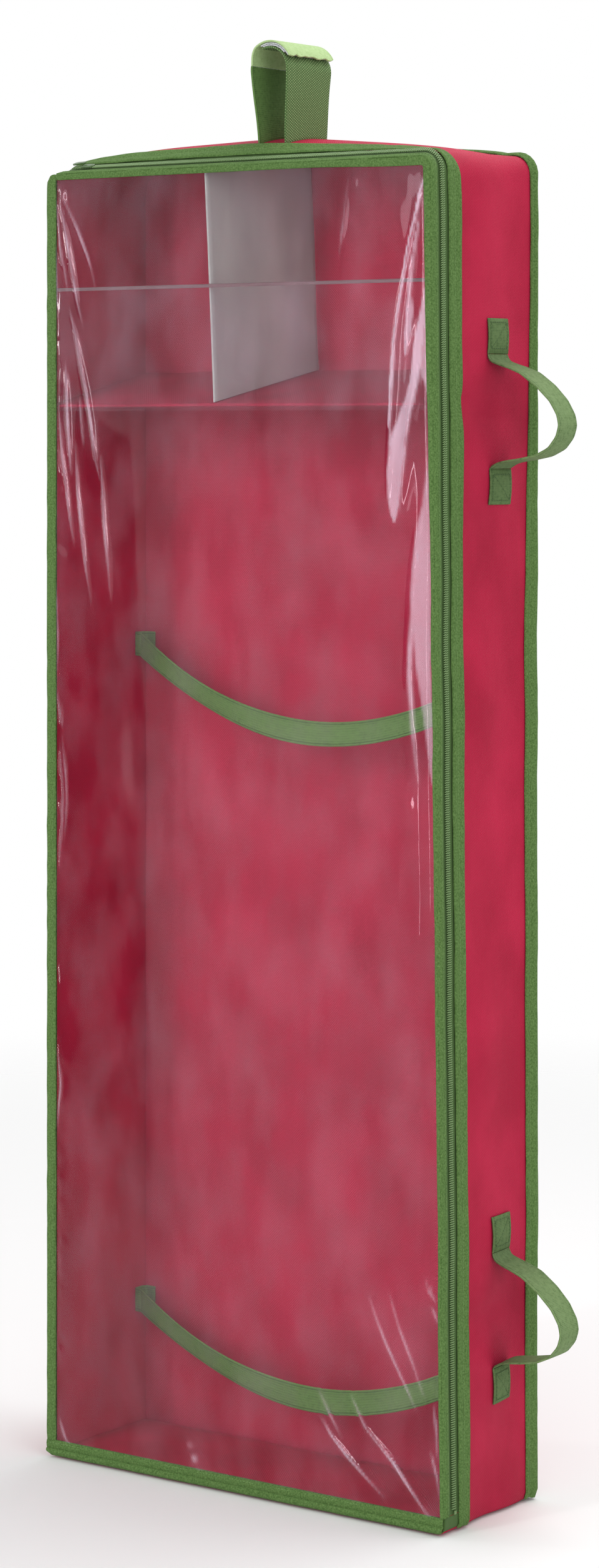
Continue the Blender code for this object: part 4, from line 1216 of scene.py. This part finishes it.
HANDLE_WIDE, HANDLE_THICK, HANDLE_RIB = 0.027, 0.0015, 260
LOOP_LENGTH = 0.169
TAB_START, TAB_END = 0.0438, 0.0709
DROOP = np.array([
    (0.0, 0.0435), (0.0006, 0.0405), (0.0030, 0.0378), (0.0090, 0.0362), (0.020, 0.0335),
    (0.032, 0.0290), (0.046, 0.0190), (0.057, 0.0080), (0.0635, -0.0030), (0.0650, -0.0110),
    (0.0625, -0.0195), (0.0555, -0.0280), (0.0440, -0.0335), (0.0300, -0.0362), (0.0180, -0.0378),
    (0.0080, -0.0395), (0.0022, -0.0415), (0.0004, -0.0428), (0.0, -0.0435),
])


def smooth_line(points, steps):
    """Even points along a smoothed line through the given ones."""
    points = np.asarray(points, float)
    length = running(np.linalg.norm(np.diff(points, axis=0), axis=1))
    fine = between(np.linspace(0, length[-1], steps * 4 + 1), length, points)
    for _ in range(6):
        fine[1:-1] = (fine[:-2] + 2 * fine[1:-1] + fine[2:]) / 4
    return fine[::4]


def sew_handle(label, middle, cloth, shaded_tab_cloth, thread):
    """One drooping handle with its two stitched ends."""
    name = label + "_handle"
    level = 0.0003 + HANDLE_THICK / 2
    width = spaced(-HANDLE_WIDE / 2, HANDLE_WIDE / 2, 12, 0.0005)
    line = smooth_line(DROOP, 60)
    root = box_place(HALF + level, HANDLE_DEPTH + width[None], middle + line[:, 1:])
    slack = ease(line[:, :1] / 0.02)
    centre = box_place(HALF + level, HANDLE_DEPTH, middle)
    straight = centre[0] + 0 * root[..., 0]
    free = np.stack([straight, root[..., 1], root[..., 2]], -1)
    rows = root * (1 - slack[..., None]) + free * slack[..., None]
    curl = ease(line[:, :1] / 0.04) * drift(line[:, 1:] / 0.03, width[None] / 0.02, 61)
    rows[..., 0] += line[:, :1] + 0.0018 * curl
    loop = shell(name + "_webbing", rows, HANDLE_THICK, cloth)
    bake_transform(loop)
    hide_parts(name)
    lines = []
    for end, side in (("_top_tab", 1), ("_bottom_tab", -1)):
        heights = middle + side * spaced(TAB_START, TAB_END, 10, 0.0005)
        if side > 0:
            heights = heights[::-1]
        share = np.abs(heights - middle - side * TAB_START) / (TAB_END - TAB_START)
        lift = level + 0.0006 * np.sin(pi * share)
        rows = box_place(HALF + lift[:, None], HANDLE_DEPTH + width[None], heights[:, None])
        make(name + end + "_webbing", rows, HANDLE_THICK, shaded_tab_cloth, name + end)
        low, high = middle + side * 0.0480, middle + side * 0.0680
        near, far = HANDLE_DEPTH - 0.0105, HANDLE_DEPTH + 0.0105
        corners = [(near, low), (far, low), (far, high), (near, high), (near, low), (far, high)]
        for number, ((d0, h0), (d1, h1)) in enumerate(zip(corners, corners[1:])):
            share = np.linspace(0, 1, 12)
            away = HALF + level + HANDLE_THICK / 2 + 0.0006
            seam = box_place(away, d0 + (d1 - d0) * share, h0 + (h1 - h0) * share)
            seam_name = f"{name}{end}_seam_{number}"
            lines.append(stitch_line(seam_name, seam, [(1, 0, 0)] * 2, thread))
    sewn(name + "_stitches", lines, "organizer_body")


def shade_painted_roots(name, low, high, length):
    """Handle webbing with painted shade: darker for the first few centimetres at each sewn end."""
    material = webbing(name, low, high, HANDLE_RIB, HANDLE_WIDE)
    tree = material.node_tree
    colour = tree.nodes["Principled BSDF"].inputs["Base Color"]
    place = add_node(tree, "ShaderNodeSeparateXYZ", {"Vector": stretch(tree, source="UV")})
    near_end = reckon(tree, "PINGPONG", place.outputs["X"], length / 2)
    limits = {"From Min": 0.004, "From Max": 0.050, "To Min": 0.66, "To Max": 1.0}
    strength = add_node(tree, "ShaderNodeMapRange", {"Value": near_end, **limits})
    root_shaded = tree.nodes.new("ShaderNodeVectorMath")
    root_shaded.operation = "SCALE"
    webbed = colour.links[0].from_socket
    wire(tree, root_shaded, {"Vector": webbed, "Scale": strength.outputs["Result"]})
    tree.links.new(root_shaded.outputs["Vector"], colour)
    return material


handle_webbing = shade_painted_roots(
    "handle_webbing", (0.072, 0.130, 0.040), (0.175, 0.262, 0.108), LOOP_LENGTH
)
# Painted shade: the flat tabs get a darker copy of the handle webbing.
shaded_tab_webbing = webbing(
    "shaded_tab_webbing", (0.043, 0.086, 0.025), (0.112, 0.178, 0.066), HANDLE_RIB, HANDLE_WIDE
)
handle_thread = thread_finish("handle_thread", (0.060, 0.115, 0.036))
for label, middle in zip(("upper", "lower"), HANDLE_HEIGHTS):
    sew_handle(label, middle, handle_webbing, shaded_tab_webbing, handle_thread)


# ---------------------------------------------------------------- hang strap
# A wide strap sewn to the top: two legs of coarse twill that go round a closet
# rod, and a pale flap lined with hook tape that closes over the loop tape.

HANG_WIDE, HANG_THICK = 0.060, 0.0015
LEG_RADIUS = 0.01705
TAPE_WIDE, FUZZY_THICK = 0.057, 0.0012
LOOP_RADIUS, HOOK_RADIUS = 0.0187, 0.0202
LEFT_END, RIGHT_END = radians(-80), radians(-22)
FLAP_START, FLAP_END = radians(-79.9), radians(64)


def coarse_twill():
    """Coarse green twill with light dots in a diamond pattern."""
    material, tree, shader = new_material("coarse_twill", GREEN, 0.85)
    cross = crossed(tree, (1.0, 0.62, 1.0), (1.0, -0.62, 1.0), "UV")
    tint(tree, shader, cross, (0.062, 0.130, 0.032), (0.36, 0.50, 0.22), 0.30, 0.90)
    emboss(tree, shader, (cross, 0.6, 0.0004))
    return material


def fuzzy_tape(name, tone):
    """White fuzzy hook or loop tape."""
    material, tree, shader = new_material(name, tone, 0.95)
    fuzz = noise(tree, 900, 3)
    tint(tree, shader, fuzz, (0.42, 0.43, 0.46), tone, 0.3, 0.62)
    emboss(tree, shader, (fuzz, 0.9, 0.0008))
    return material


def round_rod(radius, angle, width, wave=0.0):
    """Rows of places round the rod's axis, from angles measured from straight up."""
    angle = np.asarray(angle)[:, None]
    y = spaced(-width / 2, width / 2, 24, 0.0005)[None]
    radius = np.asarray(radius).reshape(-1, 1) + wave
    return np.stack(np.broadcast_arrays(radius * np.sin(angle), y, radius * np.cos(angle)), -1)


def strap_leg(foot_x, side, end, narrow):
    """Rows of one leg: from its foot on the top, up and round the rod."""
    y = spaced(-HANG_WIDE / 2, HANG_WIDE / 2, 24, 0.0005)
    depth = DEPTH / 2 + y * (1 - narrow)
    foot = box_place(foot_x, depth, top_height(foot_x, depth) - 0.0004)
    middle = box_place(foot_x, DEPTH / 2, top_height(foot_x, DEPTH / 2))
    below = pi - np.arctan(abs(middle[0]) / -middle[2])
    tangent = side * (below - np.arccos(LEG_RADIUS / np.hypot(middle[0], middle[2])))
    ring = round_rod(LEG_RADIUS, spaced(tangent, end, 30), HANG_WIDE)
    share = spaced(0, 1, 40)[:-1, None, None]
    bow = side * 0.0012 * np.sin(pi * share) * drift(y[None, :, None] / 0.03, share, 71)
    straight = foot[None] * (1 - share) + ring[0][None] * share
    straight = straight + bow * np.array([1.0, 0.0, 0.0])
    return np.concatenate([straight, ring])


def hang_the_strap(twill, green, pale, hook, loop):
    """Legs, flap, and the hook and loop tapes between them."""
    rows = strap_leg(-0.0068, -1, LEFT_END, 0.10)
    make("left_leg", rows, HANG_THICK, green, "hang_strap_left_leg")
    rows = strap_leg(0.020, 1, RIGHT_END, 0.08)
    make("right_leg", rows[:, ::-1], HANG_THICK, twill, "hang_strap_right_leg")
    fuzz = 0.0002 * drift(np.arange(31)[:, None] / 2.0, np.arange(27)[None] / 2.0, 72)
    rows = round_rod(LOOP_RADIUS, spaced(radians(-20), radians(48), 30), TAPE_WIDE, fuzz)
    make("loop_side", rows[:, ::-1], FUZZY_THICK, loop, "loop_tape", edge=0.6)
    rows = round_rod(HOOK_RADIUS, spaced(radians(-26), radians(60), 30), TAPE_WIDE, fuzz)
    make("hook_side", rows[:, ::-1], FUZZY_THICK, hook, "hook_tape", "hang_strap_flap", 0.6)
    angle = spaced(FLAP_START, FLAP_END, 70, 0.01)
    spread = ease((angle - FLAP_START) / (radians(-34) - FLAP_START))
    ragged = 0.0012 * ease((angle - radians(50)) / radians(14))[:, None]
    ragged = ragged * drift(0.5, np.arange(27)[None] / 1.6, 73)
    rows = round_rod(LEG_RADIUS + 0.0048 * spread, angle, HANG_WIDE)
    rows[..., 2] += ragged
    rows[..., 0] -= ragged * 0.6
    make("flap", rows[:, ::-1], HANG_THICK, pale, "hang_strap_flap", "hang_strap_flap")


twill = coarse_twill()
plain_green = webbing("hang_webbing", (0.06, 0.125, 0.03), (0.13, 0.235, 0.068), 220, HANG_WIDE)
pale_flap = webbing("flap_webbing", (0.29, 0.43, 0.17), (0.43, 0.58, 0.28), 260, HANG_WIDE)
loop_white = fuzzy_tape("loop_white", (0.80, 0.81, 0.84))
hook_white = fuzzy_tape("hook_white", (0.78, 0.79, 0.82))
hang_the_strap(twill, plain_green, pale_flap, hook_white, loop_white)
